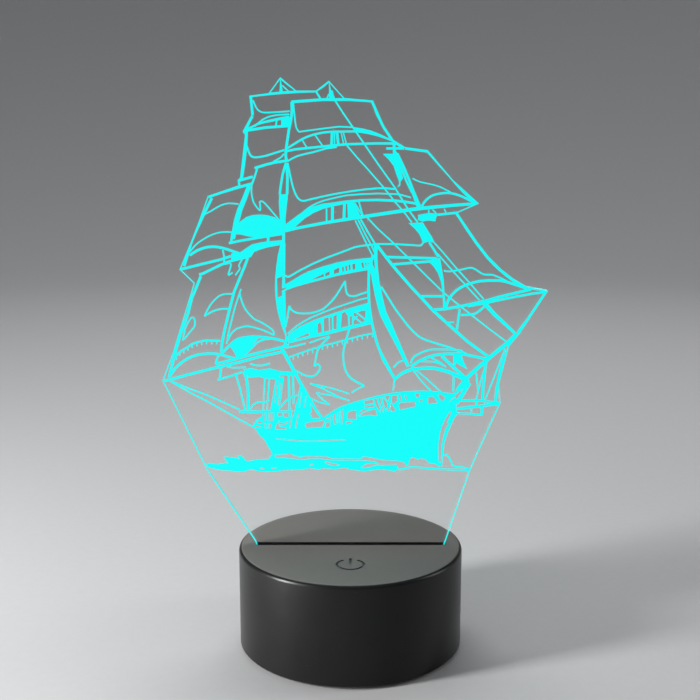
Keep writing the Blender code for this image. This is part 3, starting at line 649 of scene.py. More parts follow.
# %% Fore mast: upper sails
fill((-7.8, 176.3), (-7.7, 170), (-6.3, 170))
lines(0.45, [(-7.9, 175.8), (-10, 174), (-12.3, 172.7)],
            [(-7.4, 175.6), (-4.6, 172.6), (-2.2, 170.1)])
lines(0.45, [(-7.8, 171.6), (-8.5, 170)])
lines(0.95, [(-21.4, 168.8), (-10, 169.6), (-0.2, 169.6), (8, 169.1)])
lines(0.9, [(-21.3, 168.8), (-21.2, 165.8), (-21.7, 162), (-22.4, 158.8), (-23.5, 152),
            (-23.6, 149.1), (-23.2, 147.5)])
lines(0.5, [(-20.7, 168.4), (-20.3, 164), (-19.8, 160), (-18.6, 158.1), (-17.7, 158.3),
            (-10, 159.3), (-4.1, 160), (0.9, 159.8)])
lines(0.9, [(8.1, 168.8), (9.7, 164.4), (11.9, 160.7), (14.2, 157.5), (16.1, 154.9), (18.1, 153)])
lines(0.7, [(-23, 152.3), (-17.7, 155.5), (-12.8, 157.3), (-6.9, 158.2), (2, 158.3)])
fill(
    (0.8, 159.9), (4.7, 159.3), (7.9, 158.5), (11.2, 157.2), (14.5, 155.6), (16, 154.9),
    (15.4, 154.6), (12.8, 155.6), (9.6, 156.6), (6.3, 157.4), (2, 158),
)
lines(0.8, [(-23.4, 151.2), (-20, 151.9), (-10, 152.9), (-1.5, 153.7), (10, 154), (15.9, 154)])
lines(0.6, [(-23.2, 147.5), (-19.3, 149.5), (-13.4, 150.9), (-8.8, 152.2), (-5, 152.7)])
lines(0.45, [(-17.6, 155.2), (-15.9, 152.5)],
            [(-12.8, 156.9), (-10, 152.9)],
            [(-5.8, 158), (-5.8, 153.3)])
lines(0.9, [(-6.7, 158), (-6.9, 153.2)], [(-4.9, 158.2), (-4.4, 153.4)])
lines(0.38, [(-3.4, 158), (-2.4, 153.6)], [(-2.6, 158), (-1.4, 153.6)])
lines(0.8, [(13.1, 152.2), (19.6, 152.2)])
lines(0.9, [(17, 154.2), (20.3, 152.9), (23.6, 152.4), (28.1, 151.3)])
lines(0.9, [(28.2, 151.2), (32.1, 146.9), (36.1, 142.6), (40.1, 138.1), (43.4, 134.8),
            (47.2, 132.1)])
lines(1.0, [(15.9, 154), (16.1, 150.3)])
fill(
    (11.8, 150.3), (14, 148.2), (15.8, 145.9), (16.9, 142.6), (17.7, 140.7), (17.9, 139.4),
    (17.2, 138.1), (18.3, 138.7), (18.4, 140.3), (19.3, 141.3), (18.8, 143.6), (18, 145.9),
    (17.4, 148.5), (17.1, 150.3),
)
lines(0.65, [(16.6, 151), (17.1, 149.1), (20.4, 140.7), (22.7, 136.1)])
lines(0.9, [(17.1, 150.4), (19.6, 145.3), (21.6, 140.7), (23.3, 136.4), (25.6, 131.2)])
fill((22.5, 136), (23.6, 136), (25.9, 130.9), (24.4, 131), (23.5, 133.5))

# %% Fore mast: the wide topsail
lines(0.6, [(-23, 147), (-22, 142), (-21.3, 138.8), (-20, 135.3), (-18.6, 133.6), (-17, 133.2),
            (-15.4, 133.6), (-11.1, 134.6)])
lines(0.6, [(-11.1, 134.6), (-5.8, 135.7), (0.2, 136.7), (5.5, 137.4), (10.1, 137.8), (13.4, 137.8),
            (16.3, 137.5)])
lines(0.5, [(-18.1, 128.5), (-15.4, 130.7), (-12.4, 132.3), (-9.1, 133.5), (-5.8, 134.3),
            (-1.5, 135.2), (3.5, 135.6)])
lines(0.5, [(3.5, 135.6), (10.1, 135.9), (16, 135.7), (18.7, 135.4), (22.3, 134.4)])
fill(
    (-24.1, 124.5), (-19, 128.3), (-15, 130.8), (-10, 132.2), (-5.8, 132.7), (-2, 133.3),
    (3.5, 133.8), (10, 134), (16.6, 133.7), (20.4, 133.3), (24.7, 132.5), (24.7, 131.7),
    (20.4, 132.4), (16.6, 132.8), (10, 133.1), (4, 133), (-2.4, 132), (-6.3, 131.2), (-10, 130.3),
    (-13.7, 128.7), (-16.9, 126.7), (-20.5, 123.6), (-24.1, 122.4),
)
lines((0.9, 1.25), [(-24.1, 122.1), (-19.8, 123.2), (-9.8, 125.1), (0.2, 126.7), (13.4, 128.7),
                    (23.7, 130.2)])
lines((1.25, 0.9), [(23.7, 130.2), (30.3, 130.9), (36.9, 131.5), (43.5, 132), (47.3, 132.1)])
lines(0.5, [(-8.8, 130.4), (-8.8, 125.6)], [(1.6, 132.4), (4.6, 127.5)], [(3, 133.2), (4.7, 127.4)])
lines(1.0, [(-6.6, 131.1), (-6.7, 126)], [(-2.2, 132), (-2.4, 126.5)])
fill((-1.2, 133), (0.8, 133.4), (2.6, 130), (3.8, 127.3), (-0.9, 126.7))
lines(0.5, [(1.8, 126), (6.8, 115.8), (8.8, 111.8)],
           [(2.8, 126.4), (5.4, 121.1), (8.1, 116.2), (9.8, 112.4)])
lines(0.6, [(3.8, 126.4), (6.1, 122.4), (8.5, 118.4), (9.4, 117)])
lines(0.55, [(-6.7, 172.8), (-5.5, 169.2), (0.8, 159.9), (9.9, 146.9), (16.3, 138.1), (21.2, 130.2),
             (24.9, 125.3)])
lines(0.5, [(-1.3, 153.3), (2.4, 149), (6.3, 144.8), (12.3, 138), (16.7, 132.5), (19.7, 129.2),
            (22.7, 125.3)])
lines(0.5, [(6.3, 127), (10, 123.1), (15.7, 117.9), (28.5, 105.3), (35.2, 98.8), (45.3, 90.8),
            (52, 85.6), (59, 80.4)])
lines(0.45, [(22.8, 141.4), (25.6, 140.1), (29.9, 139.2), (33.2, 138.2), (36.8, 136.4)])
lines(0.75, [(26.3, 131.2), (27.6, 133.2), (29.9, 135), (32.6, 135.8), (35.8, 136.1), (38.8, 135.6),
             (41.8, 134.5), (45.7, 132.5)])
lines(0.8, [(25, 127.6), (29, 128.3), (32, 128.1), (35, 128.4), (39.6, 128.9)])
fill(
    (24.9, 126.2), (25.2, 128), (29, 128.6), (32.2, 128.4), (31.6, 126.8), (31.4, 125.7),
    (28.5, 126), (26.7, 125.6),
)
lines(0.4, [(28.9, 130), (28.9, 128.3)],
           [(30.3, 130), (31.7, 128.6)],
           [(34.6, 130.3), (35.3, 128.9)])
fill(
    (21.5, 125), (23.8, 123), (25.5, 121), (26.5, 118.7), (26.9, 117.6), (28.9, 118.2),
    (31.3, 117.8), (30.2, 120), (28.5, 122.6), (26.8, 125.3),
)
lines(0.6, [(26.9, 117.7), (26, 116.8), (23.2, 116.9), (16.3, 117.3), (10.1, 117.3), (5.5, 116.8),
            (1.5, 116.1), (-3.2, 114.3)])
lines(0.6, [(-3.2, 114.3), (-8.6, 112.3), (-13.9, 110), (-18.6, 107.6), (-22, 105.6),
            (-23.3, 105.1), (-24.4, 105.6)])
lines(0.95, [(39.4, 128.4), (43.2, 122.7), (46.8, 117.6), (51, 112.3), (55.8, 107.6), (61, 103.6),
             (66.2, 100.8)])

# %% Fore mast: the narrow band under the wide topsail
fill(
    (-24.8, 102), (-22.3, 103.4), (-18.7, 105.6), (-15.2, 107.3), (-10.2, 109), (-5.2, 110.4),
    (-0.1, 111.4), (4.9, 112), (7.6, 112.2), (6.9, 107.7), (1.9, 106.8), (-5.2, 105.4),
    (-10.2, 104.1), (-15.2, 102.8), (-20.2, 101.4), (-25.8, 99.4),
)
cut((-26, 100.4), (-24.2, 101.2), (-24.1, 100.6), (-26, 99.7))
cut((-15, 103.8), (-9.9, 106.3), (-9.9, 105.1))
cut((-9.4, 106.4), (-7.7, 107.2), (-7.8, 105.8), (-9.4, 105.2))
cut((-6.1, 107.7), (-4.1, 108.6), (-4.2, 106.6), (-6.2, 106.1))
cut((-3.1, 108.8), (-2.5, 108.9), (-2.4, 107.1), (-3, 107))
cut((-1.9, 109.2), (-1.3, 109.3), (-1.1, 107.3), (-1.7, 107.2))
cut((-0.7, 109.5), (-0.1, 109.7), (0.1, 107.7), (-0.5, 107.6))
cut((0.7, 109.8), (1.8, 110.1), (1.8, 107.9), (0.9, 107.7))
cut((4, 110.3), (4.7, 110.5), (5.2, 108.5), (4.5, 108.4))
cut((5.3, 110.3), (5.8, 110.4), (6.1, 109), (5.9, 108.9))
cut((6.3, 110.3), (6.9, 110.4), (6.6, 109.6))

# %% [markdown]
# The fore course and its yard come next. The wide band between them is filled first and then pierced
# by cuts, because it is easier to remove windows than to draw the bars between them.

# %% Fore mast: the course
lines(0.6, [(-24.5, 86.1), (-23.7, 89.6), (-22.9, 94.1)])
lines(0.6, [(-22.9, 94.1), (-22.1, 92.7), (-20.1, 91.5), (-17.3, 91.3), (-14.3, 91.5),
            (-11.3, 92.5), (-9.3, 93.7), (-5.6, 97.6), (-2, 103.5)])
lines(0.6, [(-2, 103.5), (-1.8, 100.9), (-1.3, 98.9), (-0.1, 97.9), (1.9, 97.9), (4.4, 98.8),
            (6.8, 99.5)])
lines(0.5, [(-23.6, 83.6), (-20.2, 86.5), (-15, 89.6), (-9.9, 91.8), (-4.9, 93.7), (0.2, 95.4),
            (3.5, 96.5), (7, 97.3)])
fill(
    (-23.4, 83.2), (-19.2, 86.2), (-13.4, 88.9), (-6.6, 91.3), (0.1, 93.4), (6.1, 95.1),
    (7.1, 95.3), (8.2, 87.3), (3.6, 86.2), (-3.2, 84.6), (-10, 82.9), (-15.1, 81.9), (-23.4, 79.8),
)
cut((-21.9, 81.1), (-15.9, 83.8), (-15.3, 83.2), (-15.9, 82.7))
cut((-12.4, 83.8), (-12.3, 87.2), (-11.4, 88), (-10.8, 86.9), (-10.7, 84))
cut((-10, 84.3), (-10, 89.3), (-8.2, 89.9), (-8, 84.7))
cut((-7.6, 84.8), (-7.7, 89.7), (-7, 90), (-6.9, 85))
cut((-6.4, 85.2), (-6.4, 90.2), (-5.1, 90.8), (-5.2, 85.4))
cut((-3.6, 85.8), (-3.2, 91.3), (-2, 91.9), (-1, 90.4), (-0.7, 86.5))
cut((-0.2, 86.7), (-0.2, 90), (2, 92), (5.7, 92.4), (5.6, 88.8), (4.2, 87.5))
lines(0.55, [(0.9, 86.6), (0.9, 91.2)], [(0, 91), (4.9, 87.2)], [(1.4, 92.2), (5.8, 88.9)])
lines(0.55, [(1, 88.6), (2.6, 90.3)], [(2.4, 92), (3.8, 92.4)])
FORE_REEF = [(-23.4, 74.5), (-20.1, 75.7), (-15.4, 77.4), (-10, 79.1), (-5.9, 80.1), (-1.5, 81.3),
             (3.5, 82.7), (8.3, 83.7)]
lines(0.5, FORE_REEF)
lines(0.55, [(-24.5, 78.1), (-21, 78.8), (-16.8, 79.9)],
            [(-15.4, 80.1), (-11.4, 81.5), (-7.9, 82.6)])
lines(0.6, [(-7.9, 82.4), (-10, 80.3), (-12, 77.9), (-12.9, 75.2), (-13.6, 71)])
lines(0.6, [(-13.6, 71), (-12.4, 71.9), (-11.5, 70.7), (-12, 69), (-13.7, 67.4), (-15.7, 67.2),
            (-17.7, 67.8), (-20.5, 69.3)])
lines(0.65, [(-0.4, 85.4), (-1.6, 81.3), (-2.6, 77.2), (-2.7, 73.8), (-2, 70), (-0.5, 67.2),
             (1.9, 65.3), (5.3, 63.5)])
lines(0.5, [(5.3, 63.5), (2.6, 62.2), (0.4, 60.8)], [(-15.3, 64.4), (-6.7, 62.5), (-0.3, 60.4)])
lines(0.5, [(-15.3, 64.4), (-10.1, 62.3), (-4.6, 59.2), (-0.3, 57.8)],
           [(-13, 60.8), (-6.7, 59.7), (-0.3, 57.8)])
lines(0.5, [(-13, 60.8), (-10.5, 58.1), (-7.8, 56.2)], [(-15.5, 58.7), (-11.8, 57.1), (-7.8, 56.2)])
lines(0.9, [(8.5, 113.2), (7.3, 110), (6.9, 107.7), (6.8, 101), (6.9, 97.4), (7.1, 93.9),
            (8.1, 87.5), (9.6, 81.3), (11.4, 76.5), (13.7, 72.1), (16.8, 66.2)])
lines(0.55, [(16.8, 66.2), (16.2, 61.6)], [(16.3, 70.6), (18, 72.4), (20, 73.4)])
lines((1.3, 0.9), [(9.4, 117.3), (9.4, 112.3), (9.6, 109.3), (10, 106), (10.4, 103)])
lines((0.7, 2.1), [(8.3, 112.8), (7.6, 110), (8, 108), (8.8, 106)])
lines((2.1, 2.7), [(8.8, 106), (9.3, 103.6), (10, 101)])
lines((2.7, 2.5), [(10, 101), (10.5, 98.2), (11.3, 94.9), (12.4, 91), (14.2, 87.3)])
lines((2.5, 1.1), [(14.2, 87.3), (16.4, 82.7), (18.7, 77.9), (21.9, 71)])

# %% [markdown]
# Forward of the fore mast come the jibs: long curved sails on the stays that run down to the
# bowsprit, and the fore yard that reaches out over the bow.

# %% Yards and jibs over the bow
lines(0.8, [(29.2, 118), (31.3, 114.8), (32.7, 112.5)])
lines(0.5, [(31.1, 117.8), (34.4, 114.2), (39.3, 108.5), (44.2, 103.2), (49.9, 96.7)])
lines(0.5, [(32.3, 113.8), (38.1, 107.3), (43.4, 101.6), (48.3, 96.3)])
lines(0.85, [(13.4, 112.5), (20.7, 112.3), (32, 112)],
            [(15.7, 109.7), (22.7, 110.3), (29, 110.8), (32, 111.2)])
fill(
    (28.7, 111), (33.3, 112.2), (34, 108.5), (34.8, 104), (35.2, 99), (35.8, 93.5), (34.8, 93.3),
    (34.5, 98.5), (33.9, 103), (32.6, 106.5), (30.8, 109.2),
)
lines(0.8, [(25.9, 97.8), (34.6, 97.8)])
lines(1.0, [(9.6, 117.2), (13.5, 112.1), (17, 107.8), (22.8, 101.2), (26.2, 97.6), (31.2, 92.2)])
lines(1.0, [(31.2, 92.2), (36.2, 87.7), (40, 84.3), (43.8, 80.9), (49.3, 76.8), (52.3, 74.7)])
lines(0.55, [(34.8, 107.4), (36.8, 107.1), (40.9, 107.7), (45.4, 108.4), (49.5, 106.1),
             (53.5, 105.7), (58.4, 103.5)])
lines(0.9, [(35.6, 93), (37.1, 97.1), (40.2, 100.4), (44.2, 102.4), (48.6, 103.5), (53.5, 103.7),
            (57.9, 103.3), (65.7, 100.8)])
lines(0.95, [(30.7, 92.6), (35.6, 93), (41.3, 94), (50.5, 96), (55.6, 97.5), (60.9, 98.8),
             (67.5, 100.4)])
lines(0.8, [(44, 94), (50.4, 95.2), (56.5, 96.5), (61.3, 97.5), (67.7, 98.7), (74, 99.5)])
lines(0.6, [(66.5, 100.8), (74, 99.8)])
lines(0.95, [(74, 99.6), (72.5, 97.6), (69, 92.2), (65.6, 87.7), (63, 83.9)])
lines((1.6, 1), [(50.4, 95), (54.1, 90.9), (57.7, 87.7), (61.9, 83.8)])
lines(1.4, [(62.6, 83.5), (59.3, 80.1), (56.8, 78), (52.9, 74.7), (48.4, 70.6), (44.1, 66.5),
            (40.7, 61.8)])
lines(0.75, [(41, 93), (40.5, 88.9), (40, 84.5)],
            [(41.4, 90.7), (45.3, 90.9), (47.8, 91.8), (50.9, 94.5)])
lines(0.45, [(36, 87.8), (39, 88)])
lines(0.65, [(11.5, 101.4), (14.3, 97), (17, 92.7), (21.1, 87.3), (25.2, 83), (28.9, 81),
             (33, 79.7), (36.7, 78.6), (43.8, 75.9)])
lines(0.65, [(22.8, 72.3), (23.8, 74.4), (25.8, 75.8), (29.2, 77.2), (32.2, 77.6), (39.9, 77.4),
             (42.3, 76.9)])
lines(0.95, [(22.8, 70.9), (25.9, 73), (29.9, 74.8), (33.6, 75.6), (37.6, 75.9), (43.4, 75.6),
             (51.4, 73.9)])
lines((1.0, 1.4), [(16.9, 66.1), (19.8, 68.5), (23.6, 69.9), (30.4, 70.4), (34.4, 69.7),
                   (37.8, 68.7), (41.2, 67.1), (44.9, 65)])
lines(0.9, [(11.2, 76.5), (12.9, 72.7), (15, 69.2), (16.9, 66.1)])
lines(0.6, [(16.9, 66.1), (18.7, 67.5), (21.4, 68.9), (24.8, 70.1)])
fill(
    (39, 75.6), (41.9, 75.6), (42.9, 72.7), (44.4, 69.9), (41.8, 71.2), (39.8, 72.5), (39.5, 70.2),
    (38.8, 70.2),
)
lines(1.1, [(34.5, 75.1), (36.9, 72.7), (39.6, 70.2), (43.7, 66.5)])
lines(0.55, [(26.2, 73), (30.3, 72.9), (33.3, 72.3), (36.3, 70.9)],
            [(30.6, 74.4), (33, 73), (35, 72)])
lines(0.75, [(39.2, 67.8), (39.1, 61.4)])
lines(0.5, [(24, 69.2), (26.7, 65.7), (30.5, 61.6), (33.6, 57.8)],
           [(25, 69.5), (29.1, 66.1), (33.6, 61.9), (37, 58.8)])
lines(1.1, [(44.9, 65.2), (41.9, 62.3), (39.4, 60.1), (37.8, 58.8)])
lines(1.5, [(45.2, 64.6), (43.4, 61.6), (41.6, 58.4), (40.4, 56.5)])
lines(0.95, [(60.4, 80.7), (59.4, 77.2), (57.8, 73.3), (56.3, 66.4), (55.5, 61.5), (55.2, 57)])
lines(0.95, [(51.3, 73), (50.9, 68.5), (50.5, 63.3), (50.3, 58)])
lines(0.5, [(58.4, 77.9), (56.8, 73.4), (54.5, 66.8), (51.9, 59.8), (51.3, 58)])
lines(0.5, [(50.6, 69.2), (49.3, 65), (48.4, 60.5), (47.8, 58)],
           [(47.8, 68.5), (48, 65), (48.6, 61.5)])
lines(0.85, [(41.4, 57.7), (48.5, 57.9), (51.9, 57.4), (57, 56.7)])
lines(1.0, [(40.9, 54.6), (45, 55.1), (49.5, 55.6), (57, 56.5)], [(50.1, 56), (50.1, 52)])
lines(0.7, [(40.4, 52.8), (45, 52.6), (50.2, 52.1)], [(48, 57.8), (48, 55.4)])
lines(0.5, [(46.3, 55), (46, 52.6)])

# %% [markdown]
# The hull is one bright filled shape with a raised bulwark. Windows, ports and the gap behind the
# stem are cut from it, then a few posts are drawn back over the cuts.

# %% Hull
fill(
    (-37.4, 47.6), (-36, 50.2), (-33.9, 51.3), (-33, 53.6), (-22, 53.6), (-22, 51), (-11.6, 50.8),
    (-10, 51.4), (-6.5, 53.8), (-3.8, 55.4), (0.1, 56.8), (4.8, 58.2), (9.9, 59.6), (15.7, 60.8),
    (21.6, 61.4), (27.4, 61.7), (31.3, 61.5), (38.7, 60.6), (40.7, 58.2), (40.4, 56.3),
    (40.8, 52.4), (39.7, 50.8), (38.5, 48), (37.2, 44.8), (36.2, 41.5), (35.8, 38.4), (35.5, 34.7),
    (35.4, 31.8), (34, 31.7), (32.3, 32.9), (31, 32.8), (29.7, 33.4), (28.9, 34.6), (27.1, 34.9),
    (25.9, 34.4), (24.1, 35.4), (22.9, 34.6), (22.3, 32.2), (21.4, 32), (20.6, 33.4), (17.4, 34),
    (12.7, 34.2), (7.2, 35.4), (4.7, 35.6), (4.5, 34.7), (-1.8, 34.8), (-7.3, 34.9), (-9.2, 35.7),
    (-16.7, 35.8), (-19.5, 35.4), (-21.6, 36.1), (-23.4, 36.8), (-25.5, 36.5), (-29.6, 36.2),
    (-31.6, 39.7), (-33.4, 42.9), (-34.9, 44), (-36, 46.1),
)
cut(
    (38, 53.4), (36.2, 50.4), (34.9, 47.2), (34.2, 44), (33.8, 40), (33.9, 34.4), (34.5, 33),
    (34.9, 34.4), (35, 40), (35.6, 43.6), (36.4, 46.8), (37.8, 49), (36.8, 48.9), (38.5, 53),
)
ribbon(0.4, [(-28.4, 42.7), (-20.2, 41.9), (-13.3, 41.7), (-11.6, 41.9), (-1.8, 42.3)], inked=False)
fill((-18.9, 64.4), (-16.9, 62.4), (-15, 55.7), (-14.8, 52), (-16, 47), (-23.3, 46.8), (-21.5, 53))
cut((-22.2, 53.4), (-21.8, 53.4), (-23, 46.9), (-23.4, 46.9))
cut((-20.1, 52.4), (-19.6, 52.4), (-20.7, 46.9), (-21.1, 46.9))
cut((-19.8, 60), (-19.5, 60), (-21.6, 53.8), (-22, 53.8))
cut((-18.6, 61), (-18.4, 61), (-19.4, 55), (-19.7, 55))
cut((-17, 59.4), (-16.7, 59.4), (-17.3, 55), (-17.6, 55))
cut((-35.7, 49.9), (-33.6, 49.5), (-33.9, 48.6), (-35.5, 49))
cut((-36.3, 47.9), (-34.1, 47.5), (-34.6, 46.9), (-36.4, 47.3))
for post in range(4):
    cut((-32.7 + post, 53), (-32.2 + post, 53), (-32.4 + post, 49.8), (-32.9 + post, 49.8))
for post in range(3):
    cut((-32.9 + post, 48.9), (-32.4 + post, 48.9), (-32.3 + post, 46.8), (-32.7 + post, 46.8))
cut((-27.9, 53), (-25.9, 53), (-26, 51.7), (-27.5, 51.5))
cut((-25.4, 53), (-23.5, 53), (-23.7, 51.3), (-25.4, 51.3))
cut((-28.7, 46.5), (-24.5, 46.5), (-24.5, 47.2), (-26.9, 47.4), (-27.8, 49.2), (-28.7, 47.2))
cut((-27.6, 50), (-26.6, 49), (-25, 48.9), (-23.8, 50), (-23.9, 49), (-25.2, 48.2), (-27, 48.4))
cut((-15.4, 53), (-13.4, 53), (-13.4, 52), (-15.2, 52))
cut((-14.6, 51.4), (-13.4, 51.6), (-13.4, 51.2), (-14.6, 51))
cut((-17.3, 48.9), (-10.1, 50), (-9.9, 49.3), (-10.8, 47.4), (-16.8, 46.9), (-17.3, 47.9))
cut((-9.2, 49.1), (-7.8, 49.3), (-7.8, 47.5), (-9.7, 47.1))
cut((-9.3, 50.7), (-8.1, 51), (-8.1, 50.4), (-9.3, 50.1))
cut((-7.5, 51.7), (-7, 51.8), (-7.1, 49.6), (-7.5, 49.6))
cut((-6.4, 52.2), (-5.8, 52.6), (-5.5, 48.4), (-6.1, 48.4))
cut((-5, 53), (-4.7, 53.2), (-4.9, 48.8), (-5.1, 48.8))
cut((-4, 53.8), (-3.8, 54), (-4.1, 49), (-4.4, 49))
cut((-3, 54.2), (-2.5, 54.4), (-3.1, 48.4), (-3.6, 48.4))
cut((-1.2, 52.8), (0.1, 53.7), (2.1, 53.8), (2.3, 50.2), (1.1, 50.6), (-1.2, 50.6))
cut((-1.6, 49.3), (1.1, 49.7), (-0.2, 48.7), (-1.6, 48.5))
cut((3.1, 51.4), (3.6, 53.4), (5.2, 54.4), (9.6, 54.3), (10.2, 51.7), (7, 52.2))
lines(0.4, [(3.4, 51.4), (5, 53.2), (9.6, 54.6)])
cut((4.8, 55.2), (8.9, 56.2), (9.1, 55.2), (5.8, 54.9))
cut((5.2, 57.6), (8.5, 58.2), (8.9, 56.8), (5.6, 56.2))
cut((9, 58.4), (15, 59.8), (15, 54), (13.2, 53.1), (11.5, 53.2), (10, 55.3))
lines(0.7, [(10.2, 59), (12.2, 52.8)], [(11.6, 59.4), (13.3, 52.8)])
lines(0.6, [(12.3, 59.6), (14.4, 56.4), (13.4, 53)], [(15.4, 60), (14.6, 56.4), (15.4, 54)])
cut((15.8, 59.6), (17.8, 59.8), (17.9, 57.6), (16.4, 56.4), (15.7, 57.4))
cut((15.4, 57), (17.3, 53.9), (15.8, 53.4), (15.1, 54.4))
cut((18.3, 60), (19, 60), (19.6, 57.7), (19.1, 57.6))
cut((20.5, 59.9), (21.2, 59.8), (21.6, 58), (21.1, 58))
cut((18.5, 56.2), (19, 56.9), (24.6, 57.2), (24.7, 55.4), (18.7, 54.1))
cut((24.5, 60.5), (26.5, 60.6), (26.1, 59), (25.3, 58.8))
cut((26.3, 57.9), (27.7, 58.1), (27.1, 57.2), (26.4, 57.2))
cut((29.6, 59), (29.6, 56.4), (33.3, 56.9), (32.2, 58.4), (31.3, 59.3))
cut((33.3, 60), (34.3, 60.2), (36.3, 58.8), (34.7, 57.4))
cut((37.8, 57.6), (39.6, 59.3), (39.8, 59.1), (38, 57.4))

# %% [markdown]
# The sea is a narrow torn band under the hull, which thins to a single line past the bow.

# %% Sea
fill(
    (-55.8, 32.4), (-54.2, 33.1), (-51.2, 32.6), (-47.8, 33.3), (-46.8, 32.8), (-48, 34.3),
    (-48.8, 35.7), (-44.3, 35.3), (-42.6, 34.7), (-43.5, 36.1), (-42.2, 36.1), (-40.9, 35.1),
    (-39.9, 33.8), (-36.1, 34.4), (-31.6, 34.7), (-30.4, 36.1), (-29.9, 37), (-28.5, 35.1),
    (-25.4, 35.2), (-22, 34.8), (-17.8, 34.4), (-16.4, 34.8), (-11.6, 34.9), (-7.7, 34.3),
    (0.1, 34.1), (6, 34.1), (9.6, 33.7), (11.2, 32.9), (10.4, 32.2), (17.8, 32.4), (18.4, 30.7),
    (17.2, 29.7), (12, 30.6), (7.3, 30), (5.3, 29.8), (0.2, 30.4), (-2.2, 31.2), (-5.8, 30.6),
    (-11.1, 31), (-11.7, 30.4), (-15.5, 31), (-18.6, 30.4), (-25.5, 30.2), (-28.9, 29.7),
    (-32.4, 29.5), (-35.9, 29.9), (-38, 30.6), (-40.7, 29.7), (-43.8, 29.5), (-45.5, 29.9),
    (-50, 30.2), (-52.7, 30.8), (-54.7, 31.3),
)
cut((-9.9, 33.8), (-3.9, 32.3), (-6.2, 31.9), (-9.3, 32.8))
cut((4, 31.2), (6, 32.7), (8.5, 33), (11, 32.7), (8, 31.6), (5.5, 31.1))
cut((-34.8, 31.2), (-32.9, 30.9), (-33.4, 30.6), (-34.6, 30.8))
cut((-30.5, 31.1), (-28.1, 31.1), (-30.2, 30.6))
cut((-15.7, 32.4), (-14, 32.8), (-14.2, 32.2), (-15.6, 32.1))
lines(0.7, [(17.2, 30.8), (19.8, 30.6), (23.9, 31.5), (29.7, 31), (34.8, 30.6), (41.2, 30.4),
            (45.9, 30.3)])
lines(0.6, [(35.7, 36.1), (37.1, 36.3), (38.5, 34.3), (39.5, 32.2), (41.1, 31.6), (43.5, 31.4),
            (46, 30.4)])
print(len(drawing), "ribbon pieces, fills and cuts")

# %% [markdown]
# The cut rim of the sheet also shines as a fine line. Its path is read from the plate itself: the
# faces that look to the front are found on a merged copy, and their open edges are walked in order.
# The same outline later trims any line that would stick out past the acrylic.


# %% Walk the plate's outline
FACES_FRONT = -0.99


def front_outline(node):
    """The outline of the node's front faces in drawing millimetres, in order."""
    shape = bmesh.new()
    shape.from_mesh(node.data)
    bmesh.ops.remove_doubles(shape, verts=shape.verts, dist=WELD)
    front = {face for face in shape.faces if face.normal.y < FACES_FRONT}
    border = [edge for edge in shape.edges if len(front.intersection(edge.link_faces)) == 1]
    joined = {}
    for edge in border:
        for vertex in edge.verts:
            joined.setdefault(vertex, []).append(edge.other_vert(vertex))
    start = border[0].verts[0]
    walk = [start, joined[start][0]]
    while True:
        onward = [vertex for vertex in joined[walk[-1]] if vertex is not walk[-2]][0]
        if onward is start:
            break
        walk.append(onward)
    outline = [Vector((vertex.co.x, vertex.co.z - BASE_TOP)) / MM for vertex in walk]
    shape.free()
    return outline


outline = front_outline(frame["nodes"]["acrylic_plate"])
print("outline has", len(outline), "corners")

# %% [markdown]
# The line along the rim is fine, but where the plate is cut right along a sail, the rim is also the
# sail's edge, and is drawn as wide as the other sail edges. Four boxes say where that is. The rim goes
# to the start of the drawing, so that everything else lies over it.

# %% Draw the rim
RIM_LINE = 0.42
SAIL_EDGE = 0.95
SLOT_TOP = 0.6
SAIL_EDGE_BOXES = [
    # left, right, low, high
    (-39.4, -36, 158.2, 171.1),
    (8, 28.4, 151.5, 169.4),
    (39.5, 66.1, 101.2, 128.9),
    (59.7, 73.9, 78.5, 99.8),
]


def on_sail_edge(point):
    return any(
        left < point.x < right and low < point.y < high
        for left, right, low, high in SAIL_EDGE_BOXES
    )


for before, after in zip(outline, outline[1:] + outline[:1]):
    if max(before.y, after.y) > SLOT_TOP:
        width = SAIL_EDGE if on_sail_edge((before + after) / 2) else RIM_LINE
        across = (after - before).normalized().orthogonal() * width
        strip = (before - across, after - across, after + across, before + across)
        drawing.insert(0, (True, strip))
print(len(drawing), "shapes with the rim")

# %% [markdown]
# Now the sheet is made. Every shape is first split into triangles, because a ribbon that turns sharply
# can cross itself. `delaunay_2d_cdt` then cuts everything at its crossings and tells, for each new
# triangle, which shapes cover it. A triangle stays if it lies inside the plate's outline and the last
# shape over it is inked. The sheet is then extruded 0.1 mm into the acrylic, so that it also shows
# from behind.


# %% Join the drawing into one sheet
LEAST_AREA = 1e-5
SAME_POINT = 1e-4
ANY_TRIANGLES = 0


def split(corners):
    """The shape as counter-clockwise triangles, so that no input can cross itself."""
    flat = [Vector((point[0], point[1], 0)) for point in corners]
    for triangle in geometry.tessellate_polygon([flat]):
        a, b, c = (flat[index].xy for index in triangle)
        area = (b - a).cross(c - a) / 2
        if abs(area) > LEAST_AREA:
            yield (a, b, c) if area > 0 else (a, c, b)


def inked_sheet(name, shapes, border):
    """A flat mesh of the inked parts inside the border. Shape 0 is the border itself."""
    corners = []
    faces = []
    shape_of = []
    for number, points in enumerate([border] + [points for _, points in shapes]):
        for triangle in split(points):
            faces.append(list(range(len(corners), len(corners) + 3)))
            corners.extend(triangle)
            shape_of.append(number)
    joined = geometry.delaunay_2d_cdt(corners, [], faces, ANY_TRIANGLES, SAME_POINT, True)
    points, _, triangles, _, _, owners = joined
    kept = []
    for triangle, covering in zip(triangles, owners):
        drawn = {shape_of[owner] for owner in covering}
        if 0 in drawn and len(drawn) > 1 and shapes[max(drawn) - 1][0]:
            kept.append(triangle)
    sheet = bpy.data.meshes.new(name)
    sheet.from_pydata([(p.x * MM, 0, p.y * MM + BASE_TOP) for p in points], [], kept)
    return sheet


